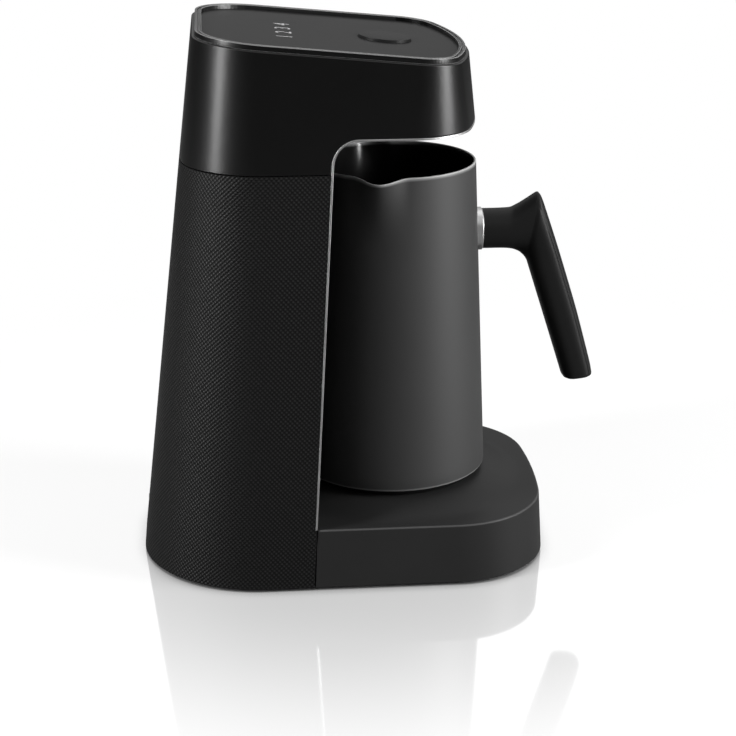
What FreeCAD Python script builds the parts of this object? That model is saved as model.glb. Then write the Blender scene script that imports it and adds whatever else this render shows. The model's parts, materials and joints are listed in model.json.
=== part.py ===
import FreeCAD, Part
import math
import os
import Sketcher

# Electric coffee pot machine: a column with a head that reaches over a lifted-out pot.
# Millimetres. +X is the side of the pot's handle, +Z is up, the feet stand on Z = 0.
# The origin is the middle of the whole object's box, on the table.

TABLE = (
    # The body's tapering envelope
    ("body_height", 250.0, "rim's back edge above the table"),
    ("back_low", 108.0, "origin to the back, at the table"),
    ("back_high", 77.9, "origin to the back, at body_height"),
    ("side_low", 68.3, "half width at the table"),
    ("side_high", 58.0, "half width at body_height"),
    ("back_corner_low", 56.5, "plan radius of the back corners, at the table"),
    ("back_corner_high", 30.4, "plan radius of the back corners, at body_height"),
    ("head_front_low", 71.0, "origin to the head's front line, at the table"),
    ("head_front_high", 43.8, "origin to the head's front line, at body_height"),
    ("head_corner_low", 31.0, "plan radius of the head's front corners, at cover_split"),
    ("head_corner_high", 18.0, "plan radius of the head's front corners, at body_height"),
    ("front_bow", 136.0, "plan radius of the head's bowed front"),
    ("wall", 2.4, "wall of the covers"),
    ("gap", 0.3, "clearance between covers"),
    ("cover_drop", 58.0, "seam between column cover and head cover, below body_height"),
    # The platform under the pot
    ("platform_height", 29.5, "platform's edge above the table"),
    ("platform_front_low", 82.7, "origin to the platform's front, at the table"),
    ("platform_front_high", 81.0, "origin to the platform's front, at its edge"),
    ("platform_corner", 44.5, "plan radius of the platform's front corners"),
    ("platform_bow", 300.0, "plan radius of the platform's bowed front"),
    ("platform_bevel", 0.7, "bevel along the platform's edge"),
    ("crown_outer", 63.0, "radius at which the platform starts to rise to the seat"),
    ("seat_radius", 42.5, "radius of the flat seat"),
    ("seat_rise", 5.0, "seat above the platform's edge"),
    # The cut-out in the covers and the hollow behind it
    ("head_drop", 43.7, "head's underside below body_height"),
    ("cutout_edge", 29.7, "origin back to the cut-out's edge, at the table"),
    ("cutout_slope", 0.0546, "forward run of the cut-out's edge for one up"),
    ("cutout_corner", 11.0, "radius of the cut-out's top corner"),
    ("trim_width", 0.9, "bright strip along the cut-out"),
    ("trim_gap", 0.1, "clearance round the bright strip"),
    ("niche_radius", 49.5, "radius of the hollow round the pot"),
    ("liner_wall", 2.0, "wall of the hollow's liner"),
    ("sensor_radius", 9.0, "barrel of the foam sensor"),
    ("sensor_tall", 10.0, "sensor barrel above the underside"),
    ("sensor_drop", 0.8, "sensor barrel below the underside"),
    ("sensor_flange", 3.0, "overlap of the sensor's flange"),
    ("lens_radius", 6.0, "sensor lens"),
    ("lens_thick", 2.0, "sensor lens thickness"),
    # The sloping top
    ("top_drop", 7.2, "rim's plane below body_height, at X = 0"),
    ("tilt", 5.3, "degrees that the top leans to the front"),
    ("rim_inset", 1.3, "rim inside the head cover's outer face"),
    ("rim_width", 3.0, "width of the rim"),
    ("rim_proud", 2.5, "rim above the head cover's edge"),
    ("rim_groove", 0.9, "width and depth of the groove in the rim"),
    ("rim_lip", 6.0, "lip of the rim inside the head cover"),
    ("panel_drop", 2.0, "control panel below the rim"),
    ("panel_thick", 2.2, "control panel thickness"),
    ("ledge", 2.5, "ledge under the control panel"),
    ("button_place", 8.3, "button centre in front of the origin, along the top"),
    ("button_radius", 11.9, "button"),
    ("button_gap", 0.3, "clearance round the button"),
    ("button_rise", 1.2, "button above the panel"),
    ("button_dish", 0.7, "depth of the hollow in the button"),
    ("button_travel", 1.2, "travel of the button"),
    ("button_flange", 1.4, "overlap of the button's flange under the panel"),
    ("stem_radius", 2.0, "button stem"),
    ("control_drop", 13.0, "control board's upper face below the rim"),
    ("board_thick", 1.6, "circuit boards"),
    ("control_back", 45.0, "control board behind the origin"),
    ("control_front", 31.0, "control board in front of the origin"),
    ("control_half", 28.0, "control board half width"),
    ("switch_wide", 12.0, "push switch"),
    ("switch_tall", 5.4, "push switch height"),
    # Floor, feet and fasteners
    ("floor_gap", 1.5, "housing above the table"),
    ("plate_thick", 2.5, "bottom plate"),
    ("foot_radius", 7.0, "rubber foot"),
    ("foot_sunk", 1.0, "foot in the bottom plate"),
    ("foot_front", 56.0, "front feet in front of the origin"),
    ("foot_back", 66.0, "rear feet behind the origin"),
    ("foot_side", 38.0, "feet to each side"),
    ("screw_radius", 1.5, "screw shank"),
    ("screw_head", 3.0, "screw head radius"),
    ("screw_head_tall", 1.8, "screw head height"),
    ("boss_radius", 4.0, "screw boss"),
    ("boss_front", 62.0, "front bosses in front of the origin"),
    ("boss_side", 22.0, "bosses to each side"),
    ("vent_long", 34.0, "vent slot length"),
    ("vent_wide", 3.0, "vent slot width"),
    ("vent_pitch", 7.0, "vent slot spacing"),
    # Supply inlet
    ("gland_height", 16.0, "inlet axis above the table"),
    ("gland_radius", 8.0, "inlet flange, inside the cover"),
    ("gland_neck", 5.5, "inlet neck"),
    ("gland_bore", 3.6, "inlet bore"),
    ("gland_long", 14.0, "inlet length"),
    # Inner frame and power board
    ("frame_clear", 4.0, "frame plate behind the liner"),
    ("frame_thick", 2.0, "frame plate"),
    ("frame_half", 30.0, "frame half width"),
    ("frame_foot", 18.0, "frame foot and top flange"),
    ("post_long", 8.0, "board posts"),
    ("post_radius", 3.0, "board posts"),
    ("post_inset", 5.0, "board posts from the board's edges"),
    ("power_low", 42.0, "power board's lower edge"),
    ("power_tall", 108.0, "power board height"),
    ("power_half", 28.0, "power board half width"),
    ("block_deep", 18.0, "depth of the tallest components on the power board"),
    ("block_wide", 24.0, "transformer's outer side from the board's middle"),
    ("block_tall", 30.0, "transformer height"),
    ("lead_radius", 1.2, "insulated leads"),
    ("lead_bend", 6.0, "bend radius of the leads"),
    ("lead_pitch", 4.0, "leads side by side"),
    # Cordless connector
    ("post_tall", 8.0, "connector post above the seat"),
    ("plug_radius", 14.5, "connector post"),
    ("plug_flange", 4.5, "connector flange beyond its post"),
    ("seal_thick", 0.8, "connector seal"),
    ("contact_inner", 8.0, "ring contact inner radius"),
    ("contact_outer", 10.0, "ring contact outer radius"),
    ("contact_pin", 2.2, "centre contact radius"),
    ("contact_sunk", 5.0, "contacts in the post"),
    ("contact_clear", 0.6, "slot round a contact"),
    # Pot
    ("pot_axis", 11.3, "pot's axis in front of the origin"),
    ("pot_gap", 2.7, "pot wall's lower edge above the seat"),
    ("rim_clear", 21.5, "pot's rim below the head's underside"),
    ("pot_radius_low", 45.1, "pot's outer radius at its lower edge"),
    ("pot_radius_high", 39.0, "pot's outer radius at its rim"),
    ("pot_wall", 1.2, "pot wall"),
    ("skirt_tall", 20.8, "pot's floor above its wall's lower edge"),
    ("pot_floor_thick", 2.0, "pot's floor"),
    ("spout_angle", 103.0, "degrees from the handle to each spout"),
    ("spout_centre", 32.6, "spout cone's axis from the pot's axis"),
    ("spout_radius", 12.0, "spout cone at the rim"),
    ("spout_root", 7.2, "spout cone at its root"),
    ("spout_tall", 28.0, "spout height"),
    ("foot_gap", 0.3, "pot's foot above the seat"),
    ("foot_inset", 3.6, "pot's foot inside the wall's lower edge"),
    ("bottom_plug", 3.6, "bottom cover inside the wall"),
    ("bottom_thick", 2.0, "bottom cover thickness"),
    ("heater_radius", 38.0, "heater plate"),
    ("heater_thick", 3.2, "heater plate thickness"),
    ("element_ring", 25.0, "heating element's ring radius"),
    ("element_radius", 3.2, "heating element's tube radius"),
    ("socket_wall", 3.5, "pot connector's wall"),
    ("socket_depth", 8.6, "recess in the pot connector"),
    ("socket_roof", 4.0, "pot connector above the recess"),
    ("thermostat_radius", 7.0, "thermostat"),
    ("pot_screw_ring", 34.0, "circle of the pot's screws"),
    # Handle, measured from the pot's axis
    ("neck_start", 43.6, "handle's inner end"),
    ("neck_under", 43.6, "neck's underside below the pot's rim"),
    ("neck_drop", 23.8, "neck's upper face below the pot's rim"),
    ("dip_out", 56.7, "foot of the thumb rest"),
    ("ear_out", 60.4, "shoulder of the thumb rest"),
    ("ear_drop", 20.5, "shoulder of the thumb rest below the pot's rim"),
    ("tip_out", 68.8, "tip of the thumb rest"),
    ("tip_drop", 17.6, "tip of the thumb rest below the pot's rim"),
    ("grip_end_out", 96.8, "grip's outer lower corner"),
    ("grip_end_drop", 107.3, "grip's outer lower corner below the pot's rim"),
    ("grip_bottom_out", 92.0, "grip's lowest point"),
    ("grip_bottom_drop", 109.7, "grip's lowest point below the pot's rim"),
    ("grip_heel_out", 83.0, "grip's inner lower corner"),
    ("grip_heel_drop", 107.8, "grip's inner lower corner below the pot's rim"),
    ("bend_out", 62.4, "corner between neck and grip"),
    ("bend_radius", 12.0, "radius between neck and grip"),
    ("grip_bow", 500.0, "radius of the grip's outer face"),
    ("handle_half", 9.5, "handle's half width"),
    ("handle_round", 2.4, "handle's rounded edges"),
    ("cover_thick", 2.4, "handle's outer cover"),
    ("cover_gap", 0.2, "clearance behind the handle's outer cover"),
    ("collar_half", 8.2, "collar's half width"),
    ("bracket_half", 4.0, "welded bracket's half width and half height"),
    ("bracket_long", 9.0, "welded bracket's reach into the neck"),
    ("fit_gap", 0.2, "clearance round the bracket and shanks"),
)

REACH = 400.0
ORIGIN = FreeCAD.Vector(0, 0, 0)
ALONG_X = FreeCAD.Rotation(FreeCAD.Vector(0, 1, 0), 90)
ALONG_Y = FreeCAD.Rotation(FreeCAD.Vector(1, 0, 0), -90)

document = FreeCAD.newDocument("coffee_pot_machine")
sheet = document.addObject("Spreadsheet::Sheet", "Sizes")
for row, (alias, number, meaning) in enumerate(TABLE, 1):
    sheet.set(f"A{row}", str(number))
    sheet.set(f"B{row}", meaning)
    sheet.setAlias(f"A{row}", alias)
document.recompute()


class Size:
    """A number together with the formula that gives it from the sheet."""

    def __init__(self, number, text):
        self.number = float(number)
        self.text = text

    def __add__(self, other):
        other = as_size(other)
        return Size(self.number + other.number, f"({self.text} + {other.text})")

    def __sub__(self, other):
        other = as_size(other)
        return Size(self.number - other.number, f"({self.text} - {other.text})")

    def __mul__(self, other):
        other = as_size(other)
        return Size(self.number * other.number, f"({self.text} * {other.text})")

    def __truediv__(self, other):
        other = as_size(other)
        return Size(self.number / other.number, f"({self.text} / {other.text})")

    def __neg__(self):
        return as_size(0) - self

    def __radd__(self, other):
        return as_size(other) + self

    def __rsub__(self, other):
        return as_size(other) - self

    def __rmul__(self, other):
        return as_size(other) * self


def as_size(amount):
    if isinstance(amount, Size):
        return amount
    return Size(amount, f"({float(amount)!r})")


def sine(angle):
    angle = as_size(angle)
    return Size(math.sin(math.radians(angle.number)), f"sin({angle.text})")


def cosine(angle):
    angle = as_size(angle)
    return Size(math.cos(math.radians(angle.number)), f"cos({angle.text})")


def root(amount):
    return Size(math.sqrt(amount.number), f"sqrt({amount.text})")


class Sizes:
    """Every size of the sheet, by its alias."""


size = Sizes()
for alias, number, meaning in TABLE:
    setattr(size, alias, Size(float(sheet.get(alias)), f"Sizes.{alias}"))

# Heights above the table, each from the piece that it belongs to
size.cover_split = size.body_height - size.cover_drop
size.underside = size.body_height - size.head_drop
size.top_height = size.body_height - size.top_drop
size.pot_low = size.platform_height + size.seat_rise + size.pot_gap
size.pot_floor = size.pot_low + size.skirt_tall
size.pot_high = size.underside - size.rim_clear
size.neck_low = size.pot_high - size.neck_under
size.neck_high = size.pot_high - size.neck_drop
size.ear_high = size.pot_high - size.ear_drop
size.tip_high = size.pot_high - size.tip_drop
size.grip_end_high = size.pot_high - size.grip_end_drop
size.grip_bottom_high = size.pot_high - size.grip_bottom_drop
size.grip_heel_high = size.pot_high - size.grip_heel_drop


def bind(thing, name, amount):
    thing.setExpression(name, as_size(amount).text)


# Solids from primitives

def place(solid, corner):
    for axis, amount in zip("xyz", corner):
        bind(solid, f"Placement.Base.{axis}", amount)


def box(name, xs, ys, zs):
    """An upright box between pairs of coordinates."""
    solid = document.addObject("Part::Box", name)
    for side, (low, high) in zip(("Length", "Width", "Height"), (xs, ys, zs)):
        bind(solid, side, as_size(high) - low)
    place(solid, (xs[0], ys[0], zs[0]))
    return solid


def rod(name, start, length, radius, turn=None):
    """A cylinder from start, upright or along X or Y."""
    solid = document.addObject("Part::Cylinder", name)
    if turn is not None:
        solid.Placement = FreeCAD.Placement(ORIGIN, turn)
    bind(solid, "Radius", radius)
    bind(solid, "Height", length)
    place(solid, start)
    return solid


def cone(name, start, length, radius_low, radius_high):
    solid = document.addObject("Part::Cone", name)
    bind(solid, "Radius1", radius_low)
    bind(solid, "Radius2", radius_high)
    bind(solid, "Height", length)
    place(solid, start)
    return solid


def slab(name, low, high):
    """Everything between two heights."""
    return box(name, (-REACH, REACH), (-REACH, REACH), (low, high))


def on_top(along, across, up):
    """Where a place in the leaning frame of the top lies: along it, across it and above it."""
    return (
        along * cosine(size.tilt) + up * sine(size.tilt),
        across,
        size.top_height - along * sine(size.tilt) + up * cosine(size.tilt),
    )


def lean(solid, along, across, up):
    solid.Placement = FreeCAD.Placement(ORIGIN, FreeCAD.Rotation(FreeCAD.Vector(0, 1, 0), 1))
    bind(solid, "Placement.Rotation.Angle", size.tilt)
    place(solid, on_top(as_size(along), across, as_size(up)))
    return solid


def top_box(name, xs, ys, zs):
    """A box in the leaning frame of the top."""
    solid = document.addObject("Part::Box", name)
    for side, (low, high) in zip(("Length", "Width", "Height"), (xs, ys, zs)):
        bind(solid, side, as_size(high) - low)
    return lean(solid, xs[0], ys[0], zs[0])


def top_rod(name, along, across, low, high, radius):
    """A cylinder square to the top."""
    solid = document.addObject("Part::Cylinder", name)
    bind(solid, "Radius", radius)
    bind(solid, "Height", as_size(high) - low)
    return lean(solid, along, across, low)


def top_slab(name, low, high):
    """Everything between two planes alongside the top."""
    return top_box(name, (-REACH, REACH), (-REACH, REACH), (low, high))


# Joining and cutting

def join(name, *pieces):
    result = document.addObject("Part::MultiFuse", name)
    result.Shapes = list(pieces)
    return result


def group(name, pieces):
    result = document.addObject("Part::Compound", name)
    result.Links = list(pieces)
    return result


def cut(name, base, *tools):
    result = document.addObject("Part::Cut", name)
    result.Base = base
    result.Tool = tools[0] if len(tools) == 1 else join(name + "_tools", *tools)
    return result


def overlap(name, first, second):
    result = document.addObject("Part::Common", name)
    result.Base = first
    result.Tool = second
    return result


def tube(name, start, length, inner, outer):
    around = rod(name + "_outside", start, length, outer)
    return cut(name, around, rod(name + "_inside", start, length, inner))


# Sketches

def origin_plane(body, role):
    return next(plane for plane in body.Origin.OriginFeatures if plane.Role == role)


def new_sketch(body, name, role, offset=0):
    sketch = body.newObject("Sketcher::SketchObject", name)
    sketch.AttachmentSupport = [(origin_plane(body, role), "")]
    sketch.MapMode = "FlatFace"
    bind(sketch, "AttachmentOffset.Base.z", offset)
    return sketch


def hold(sketch, kind, spot, amount):
    """Keep one point of a sketch at a distance from its origin."""
    number = sketch.addConstraint(Sketcher.Constraint(kind, -1, 1, *spot, as_size(amount).number))
    bind(sketch, f"Constraints[{number}]", amount)


def hold_radius(sketch, edge, amount):
    number = sketch.addConstraint(Sketcher.Constraint("Radius", edge, as_size(amount).number))
    bind(sketch, f"Constraints[{number}]", amount)


def arc(centre_x, centre_y, radius, start, end):
    circle = Part.Circle(FreeCAD.Vector(centre_x, centre_y, 0), FreeCAD.Vector(0, 0, 1), radius)
    return Part.ArcOfCircle(circle, start, end)


def line(x0, y0, x1, y1):
    return Part.LineSegment(FreeCAD.Vector(x0, y0, 0), FreeCAD.Vector(x1, y1, 0))


def plan(body, name, height, back, front, side, back_corner, front_corner, bow):
    """A level outline: flat back, straight sides, round corners and a bowed front."""
    sketch = new_sketch(body, name, "XY_Plane", height)
    rear, nose, half, turn, corner, bulge = (
        amount.number for amount in (back, front, side, back_corner, front_corner, bow)
    )
    sweep = math.asin((half - corner) / (bulge - corner))
    corner_x = nose - bulge + (bulge - corner) * math.cos(sweep)
    quarter = math.pi / 2
    edges = (
        line(turn - rear, -half, corner_x, -half),
        arc(corner_x, corner - half, corner, -quarter, -sweep),
        arc(nose - bulge, 0, bulge, -sweep, sweep),
        arc(corner_x, half - corner, corner, sweep, quarter),
        line(corner_x, half, turn - rear, half),
        arc(turn - rear, half - turn, turn, quarter, 2 * quarter),
        line(-rear, half - turn, -rear, turn - half),
        arc(turn - rear, turn - half, turn, 2 * quarter, 3 * quarter),
    )
    for edge in edges:
        sketch.addGeometry(edge, False)
    for index in range(len(edges)):
        after = (index + 1) % len(edges)
        sketch.addConstraint(Sketcher.Constraint("Tangent", index, 2, after, 1))
    for index in (0, 4):
        sketch.addConstraint(Sketcher.Constraint("Horizontal", index))
    sketch.addConstraint(Sketcher.Constraint("Vertical", 6))
    sketch.addConstraint(Sketcher.Constraint("PointOnObject", 2, 3, -1))
    hold(sketch, "DistanceY", (0, 1), -side)
    hold(sketch, "DistanceY", (4, 1), side)
    hold(sketch, "DistanceX", (6, 1), -back)
    hold(sketch, "DistanceX", (2, 3), front - bow)
    for edge, amount in ((1, front_corner), (3, front_corner), (5, back_corner), (7, back_corner)):
        hold_radius(sketch, edge, amount)
    hold_radius(sketch, 2, bow)
    return sketch


def outline(body, name, corners, bows=None):
    """An upright outline in X and Z through corners, a side bowed out where bows gives a radius."""
    bows = bows or {}
    sketch = new_sketch(body, name, "XZ_Plane")
    spots = [(x.number, z.number) for x, z in corners]
    for index, (x0, z0) in enumerate(spots):
        x1, z1 = spots[(index + 1) % len(spots)]
        if index in bows:
            radius = bows[index].number
            chord = math.hypot(x1 - x0, z1 - z0)
            rise = math.sqrt(radius ** 2 - chord ** 2 / 4)
            centre_x = (x0 + x1) / 2 - (z1 - z0) / chord * rise
            centre_z = (z0 + z1) / 2 + (x1 - x0) / chord * rise
            start = math.atan2(z0 - centre_z, x0 - centre_x)
            end = math.atan2(z1 - centre_z, x1 - centre_x)
            sketch.addGeometry(arc(centre_x, centre_z, radius, start, end), False)
        else:
            sketch.addGeometry(line(x0, z0, x1, z1), False)
    for index in range(len(corners)):
        after = (index + 1) % len(corners)
        sketch.addConstraint(Sketcher.Constraint("Coincident", index, 2, after, 1))
    for index, (x, z) in enumerate(corners):
        hold(sketch, "DistanceX", (index, 1), x)
        hold(sketch, "DistanceY", (index, 1), z)
    for index, radius in bows.items():
        hold_radius(sketch, index, radius)
    return sketch


def prism(name, corners, half_width, bows=None):
    """An upright outline made thick to both sides of the middle."""
    body = document.addObject("PartDesign::Body", name)
    sketch = outline(body, name + "_outline", corners, bows)
    pad = body.newObject("PartDesign::Pad", name + "_pad")
    pad.Profile = sketch
    pad.SideType = "Symmetric"
    bind(pad, "Length", 2 * as_size(half_width))
    document.recompute()
    return body


def fillet(body, name, radius, wanted):
    """Round the edges of a body's last feature that wanted picks."""
    last = body.Tip
    names = [f"Edge{n}" for n, edge in enumerate(last.Shape.Edges, 1) if wanted(edge)]
    rounding = body.newObject("PartDesign::Fillet", name)
    rounding.Base = (last, names)
    bind(rounding, "Radius", radius)
    document.recompute()
    return body


# The envelope of the body, which every cover and inner piece is cut from

def tapered(low, high, height):
    """A size that changes evenly from the table to body_height."""
    return low + (high - low) * height / size.body_height


def envelope(name, inset=0):
    """The body's whole outer form, moved inwards by inset."""
    body = document.addObject("PartDesign::Body", name)
    above = size.body_height + size.rim_lip
    sections = []
    for index, height in enumerate((as_size(0), size.cover_split, above)):
        if index < 2:
            front_corner = size.head_corner_low
        else:
            fall = (size.head_corner_low - size.head_corner_high) / (size.body_height - size.cover_split)
            front_corner = size.head_corner_low - fall * (height - size.cover_split)
        sections.append(plan(
            body, f"{name}_plan_{index}", height,
            back=tapered(size.back_low, size.back_high, height) - inset,
            front=tapered(size.head_front_low, size.head_front_high, height) - inset,
            side=tapered(size.side_low, size.side_high, height) - inset,
            back_corner=tapered(size.back_corner_low, size.back_corner_high, height) - inset,
            front_corner=front_corner - inset,
            bow=size.front_bow - inset,
        ))
    return loft(body, name, sections)


def platform_envelope(name, inset=0):
    """The platform's outer form with its bevelled edge, moved inwards by inset."""
    body = document.addObject("PartDesign::Body", name)
    bevel_start = size.platform_height - size.platform_bevel
    levels = ((as_size(0), inset), (bevel_start, inset), (size.platform_height, inset + size.platform_bevel))
    sections = []
    for index, (height, inwards) in enumerate(levels):
        front_run = size.platform_front_low - size.platform_front_high
        sections.append(plan(
            body, f"{name}_plan_{index}", height,
            back=tapered(size.back_low, size.back_high, height) - inwards,
            front=size.platform_front_low - front_run * height / size.platform_height - inwards,
            side=tapered(size.side_low, size.side_high, height) - inwards,
            back_corner=tapered(size.back_corner_low, size.back_corner_high, height) - inwards,
            front_corner=size.platform_corner - inwards,
            bow=size.platform_bow - inwards,
        ))
    return loft(body, name, sections)


def loft(body, name, sections):
    skin = body.newObject("PartDesign::AdditiveLoft", name + "_loft")
    skin.Profile = sections[0]
    skin.Sections = sections[1:]
    skin.Ruled = True
    document.recompute()
    return body


def cutout(name, grow=0):
    """The space in front of the covers and under the head, grown into them by grow."""
    grow = as_size(grow)
    ceiling = size.underside + grow
    below = as_size(-REACH)
    corners = (
        (size.cutout_slope * below - size.cutout_edge - grow, below),
        (as_size(REACH), below),
        (as_size(REACH), ceiling),
        (size.cutout_slope * ceiling - size.cutout_edge - grow, ceiling),
    )
    body = prism(name, corners, REACH)
    corner_x = corners[3][0].number

    def at_corner(edge):
        middle = edge.BoundBox.Center
        return abs(middle.x - corner_x) < 1e-3 and abs(middle.z - ceiling.number) < 1e-3

    return fillet(body, name + "_corner", size.cutout_corner + grow, at_corner)


SUB_PARTS = []


def sub_part(name, solid):
    """Name a finished piece, which is then written to its own file."""
    solid.Label = name
    SUB_PARTS.append(solid)
    return solid


body_outside = envelope("body_outside")
body_inside = envelope("body_inside", size.wall)
body_fit = envelope("body_fit", size.wall + size.gap)
shell = cut("shell", body_outside, body_inside)
platform_outside = platform_envelope("platform_outside")
platform_inside = platform_envelope("platform_inside", size.wall)
platform_fit = platform_envelope("platform_fit", size.wall + size.gap)

cutout_line = cutout("cutout_line")
cutout_strip = cutout("cutout_strip", size.trim_width)
cutout_cover = cutout("cutout_cover", size.trim_width + size.trim_gap)
cutout_seam = cutout("cutout_seam", size.gap / 2)
cutout_base = cutout("cutout_base", -size.gap / 2)
cutout_liner = cutout("cutout_liner", size.liner_wall)

above_platform = slab("above_platform", size.platform_height, REACH)
cover_opening = join("cover_opening", overlap("cover_opening_upper", cutout_cover, above_platform),
                     cutout_seam)

plate_top = size.floor_gap + size.plate_thick
platform_under = size.platform_height - size.wall
seat_height = size.platform_height + size.seat_rise
split_low = size.cover_split - size.gap / 2
split_high = size.cover_split + size.gap / 2
ceiling_top = size.underside + size.liner_wall
on_axis = (size.pot_axis, as_size(0))


def round_pot(name, low, high, radius):
    """A cylinder on the pot's axis."""
    return rod(name, (*on_axis, low), as_size(high) - low, radius)


def control_lead_slot(name):
    """Where the leads to the control board pass up through the shelf and the frame's flange."""
    return box(name, (board_face - 3 * size.lead_radius, board_face + size.lead_radius),
               (-size.lead_pitch, size.lead_pitch),
               (size.underside - size.boss_radius, ceiling_top + size.boss_radius))


def heater_lead_notch(name):
    """Where the leads to the pot's connector pass through the foot of the frame."""
    return box(name, (-REACH, 0), (3 * size.lead_pitch, 5 * size.lead_pitch),
               (plate_top + size.frame_thick, platform_under))


# Column cover: the textured skin of the column, from the table up to the seam

def make_column_cover():
    wall_band = overlap("column_band", shell, slab("column_levels", size.floor_gap, split_low))
    inlet = rod("inlet_hole", (as_size(-REACH), 0, size.gland_height), REACH, size.gland_neck, ALONG_X)
    return sub_part("column_cover", cut("column_cover", wall_band, cover_opening, inlet))


# Head cover: the smooth skin above the seam, cut level with the rim's seat

def make_head_cover():
    wall_band = overlap("head_band", shell, slab("head_levels", split_high, REACH))
    return sub_part("head_cover", cut("head_cover", wall_band, cutout_cover,
                                      top_slab("above_head_cover", -size.rim_proud, REACH)))


# Cut-out trim: a bright strip set into both covers along the cut-out

def make_cutout_trim():
    strip = cut("trim_strip", cutout_strip, cutout_line)
    raised = overlap("trim_raised", strip, above_platform)
    return sub_part("cutout_trim", overlap("cutout_trim", raised, shell))


# Niche liner: front flanges and the round wall behind the pot

def make_niche_liner():
    levels = overlap("liner_levels", body_fit, slab("liner_slab", size.platform_height, split_low))
    hull = join("liner_hull", cutout_liner,
                round_pot("liner_round", 0, size.cover_split, size.niche_radius + size.liner_wall))
    free = join("liner_free", cutout_line, round_pot("liner_bore", 0, REACH, size.niche_radius))
    return sub_part("niche_liner", cut("niche_liner", overlap("liner_solid", levels, hull), free))


# Head underside: the ceiling over the pot, with a rear shelf and the sensor's hole

def make_head_underside():
    levels = overlap("ceiling_levels", body_fit, slab("ceiling_slab", split_high, ceiling_top))
    hull = join(
        "ceiling_hull", cutout_liner,
        round_pot("ceiling_round", 0, REACH, size.niche_radius + size.liner_wall),
        box("ceiling_shelf", (frame_face - size.frame_foot, 0), (-REACH, REACH), (size.underside, REACH)),
    )
    free = join("ceiling_free", cutout_line,
                round_pot("ceiling_bore", 0, size.underside, size.niche_radius))
    hole = round_pot("sensor_hole", 0, REACH, size.sensor_radius + size.gap)
    return sub_part("head_underside", cut("head_underside", overlap("ceiling_solid", levels, hull),
                                          free, hole, control_lead_slot("shelf_slot")))


# Top rim: a frame round the control panel, with a groove, a lip and a ledge

def make_top_rim():
    inner_inset = size.rim_inset + size.rim_width
    outer = envelope("rim_outer", size.rim_inset)
    inner = envelope("rim_inner", inner_inset)
    fit = envelope("rim_fit", size.wall + size.gap)
    ledge_edge = envelope("rim_ledge_edge", inner_inset + size.ledge)
    groove_outer = envelope("rim_groove_outer", size.rim_inset + size.rim_groove)
    groove_inner = envelope("rim_groove_inner", size.rim_inset + 2 * size.rim_groove)
    panel_under = -(size.panel_drop + size.panel_thick)
    lip_low = -(size.rim_proud + size.rim_lip)
    ring = overlap("rim_ring", outer, top_slab("rim_levels", -size.rim_proud, 0))
    lip = overlap("rim_lip_ring", fit, top_slab("rim_lip_levels", lip_low, 0))
    blank = join("rim_blank", ring, lip)
    opening = cut("rim_opening", inner, cut(
        "rim_ledge", top_slab("rim_ledge_levels", panel_under - size.wall, panel_under), ledge_edge))
    groove = overlap("rim_groove_ring", cut("rim_groove_band", groove_outer, groove_inner),
                     top_slab("rim_groove_levels", -size.rim_groove, REACH))
    return sub_part("top_rim", cut("top_rim", blank, opening, groove))


# Control panel: a plate with the button's hole and posts for the control board

def control_posts(name, low, high, radius):
    """Four cylinders at the control board's corners, square to the top."""
    return [
        top_rod(f"{name}_{index}", along, across * (size.control_half - size.post_inset), low, high, radius)
        for index, (along, across) in enumerate(
            (along, across)
            for along in (size.post_inset - size.control_back, size.control_front - size.post_inset)
            for across in (-1, 1)
        )
    ]


def make_control_panel():
    panel_under = -(size.panel_drop + size.panel_thick)
    blank = envelope("panel_blank", size.rim_inset + size.rim_width + size.trim_gap)
    plate = overlap("panel_plate", blank, top_slab("panel_levels", panel_under, -size.panel_drop))
    posts = control_posts("panel_post", -size.control_drop, panel_under, size.post_radius)
    hole = top_rod("button_hole", size.button_place, 0, -REACH, REACH, size.button_radius + size.button_gap)
    threads = control_posts("panel_thread", -size.control_drop, panel_under, size.screw_radius)
    return sub_part("control_panel", cut("control_panel", join("panel_with_posts", plate, *posts),
                                         hole, *threads))


# Button: a dished cap on a stem, held under the panel by a flange

def make_button():
    panel_under = -(size.panel_drop + size.panel_thick)
    top = size.button_rise - size.panel_drop
    flange_top = panel_under - size.button_gap
    cap_low = flange_top - size.button_flange
    cap = top_rod("cap_body", size.button_place, 0, cap_low, top, size.button_radius)
    flange = top_rod("cap_flange", size.button_place, 0, cap_low, flange_top,
                     size.button_radius + size.button_gap + size.button_flange)
    dish_radius = size.button_radius * size.button_radius / size.button_dish / 2
    dish = document.addObject("Part::Sphere", "cap_dish")
    bind(dish, "Radius", dish_radius)
    lean(dish, size.button_place, 0, top + dish_radius - size.button_dish)
    sub_part("button_cap", cut("button_cap", join("cap_blank", cap, flange), dish))
    switch_top = size.switch_tall - size.control_drop
    sub_part("button_stem", top_rod("button_stem", size.button_place, 0,
                                    switch_top - 2 * size.button_travel, cap_low, size.stem_radius))


# Control board with the push switch, two lamps and the clear ring that they light

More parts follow.
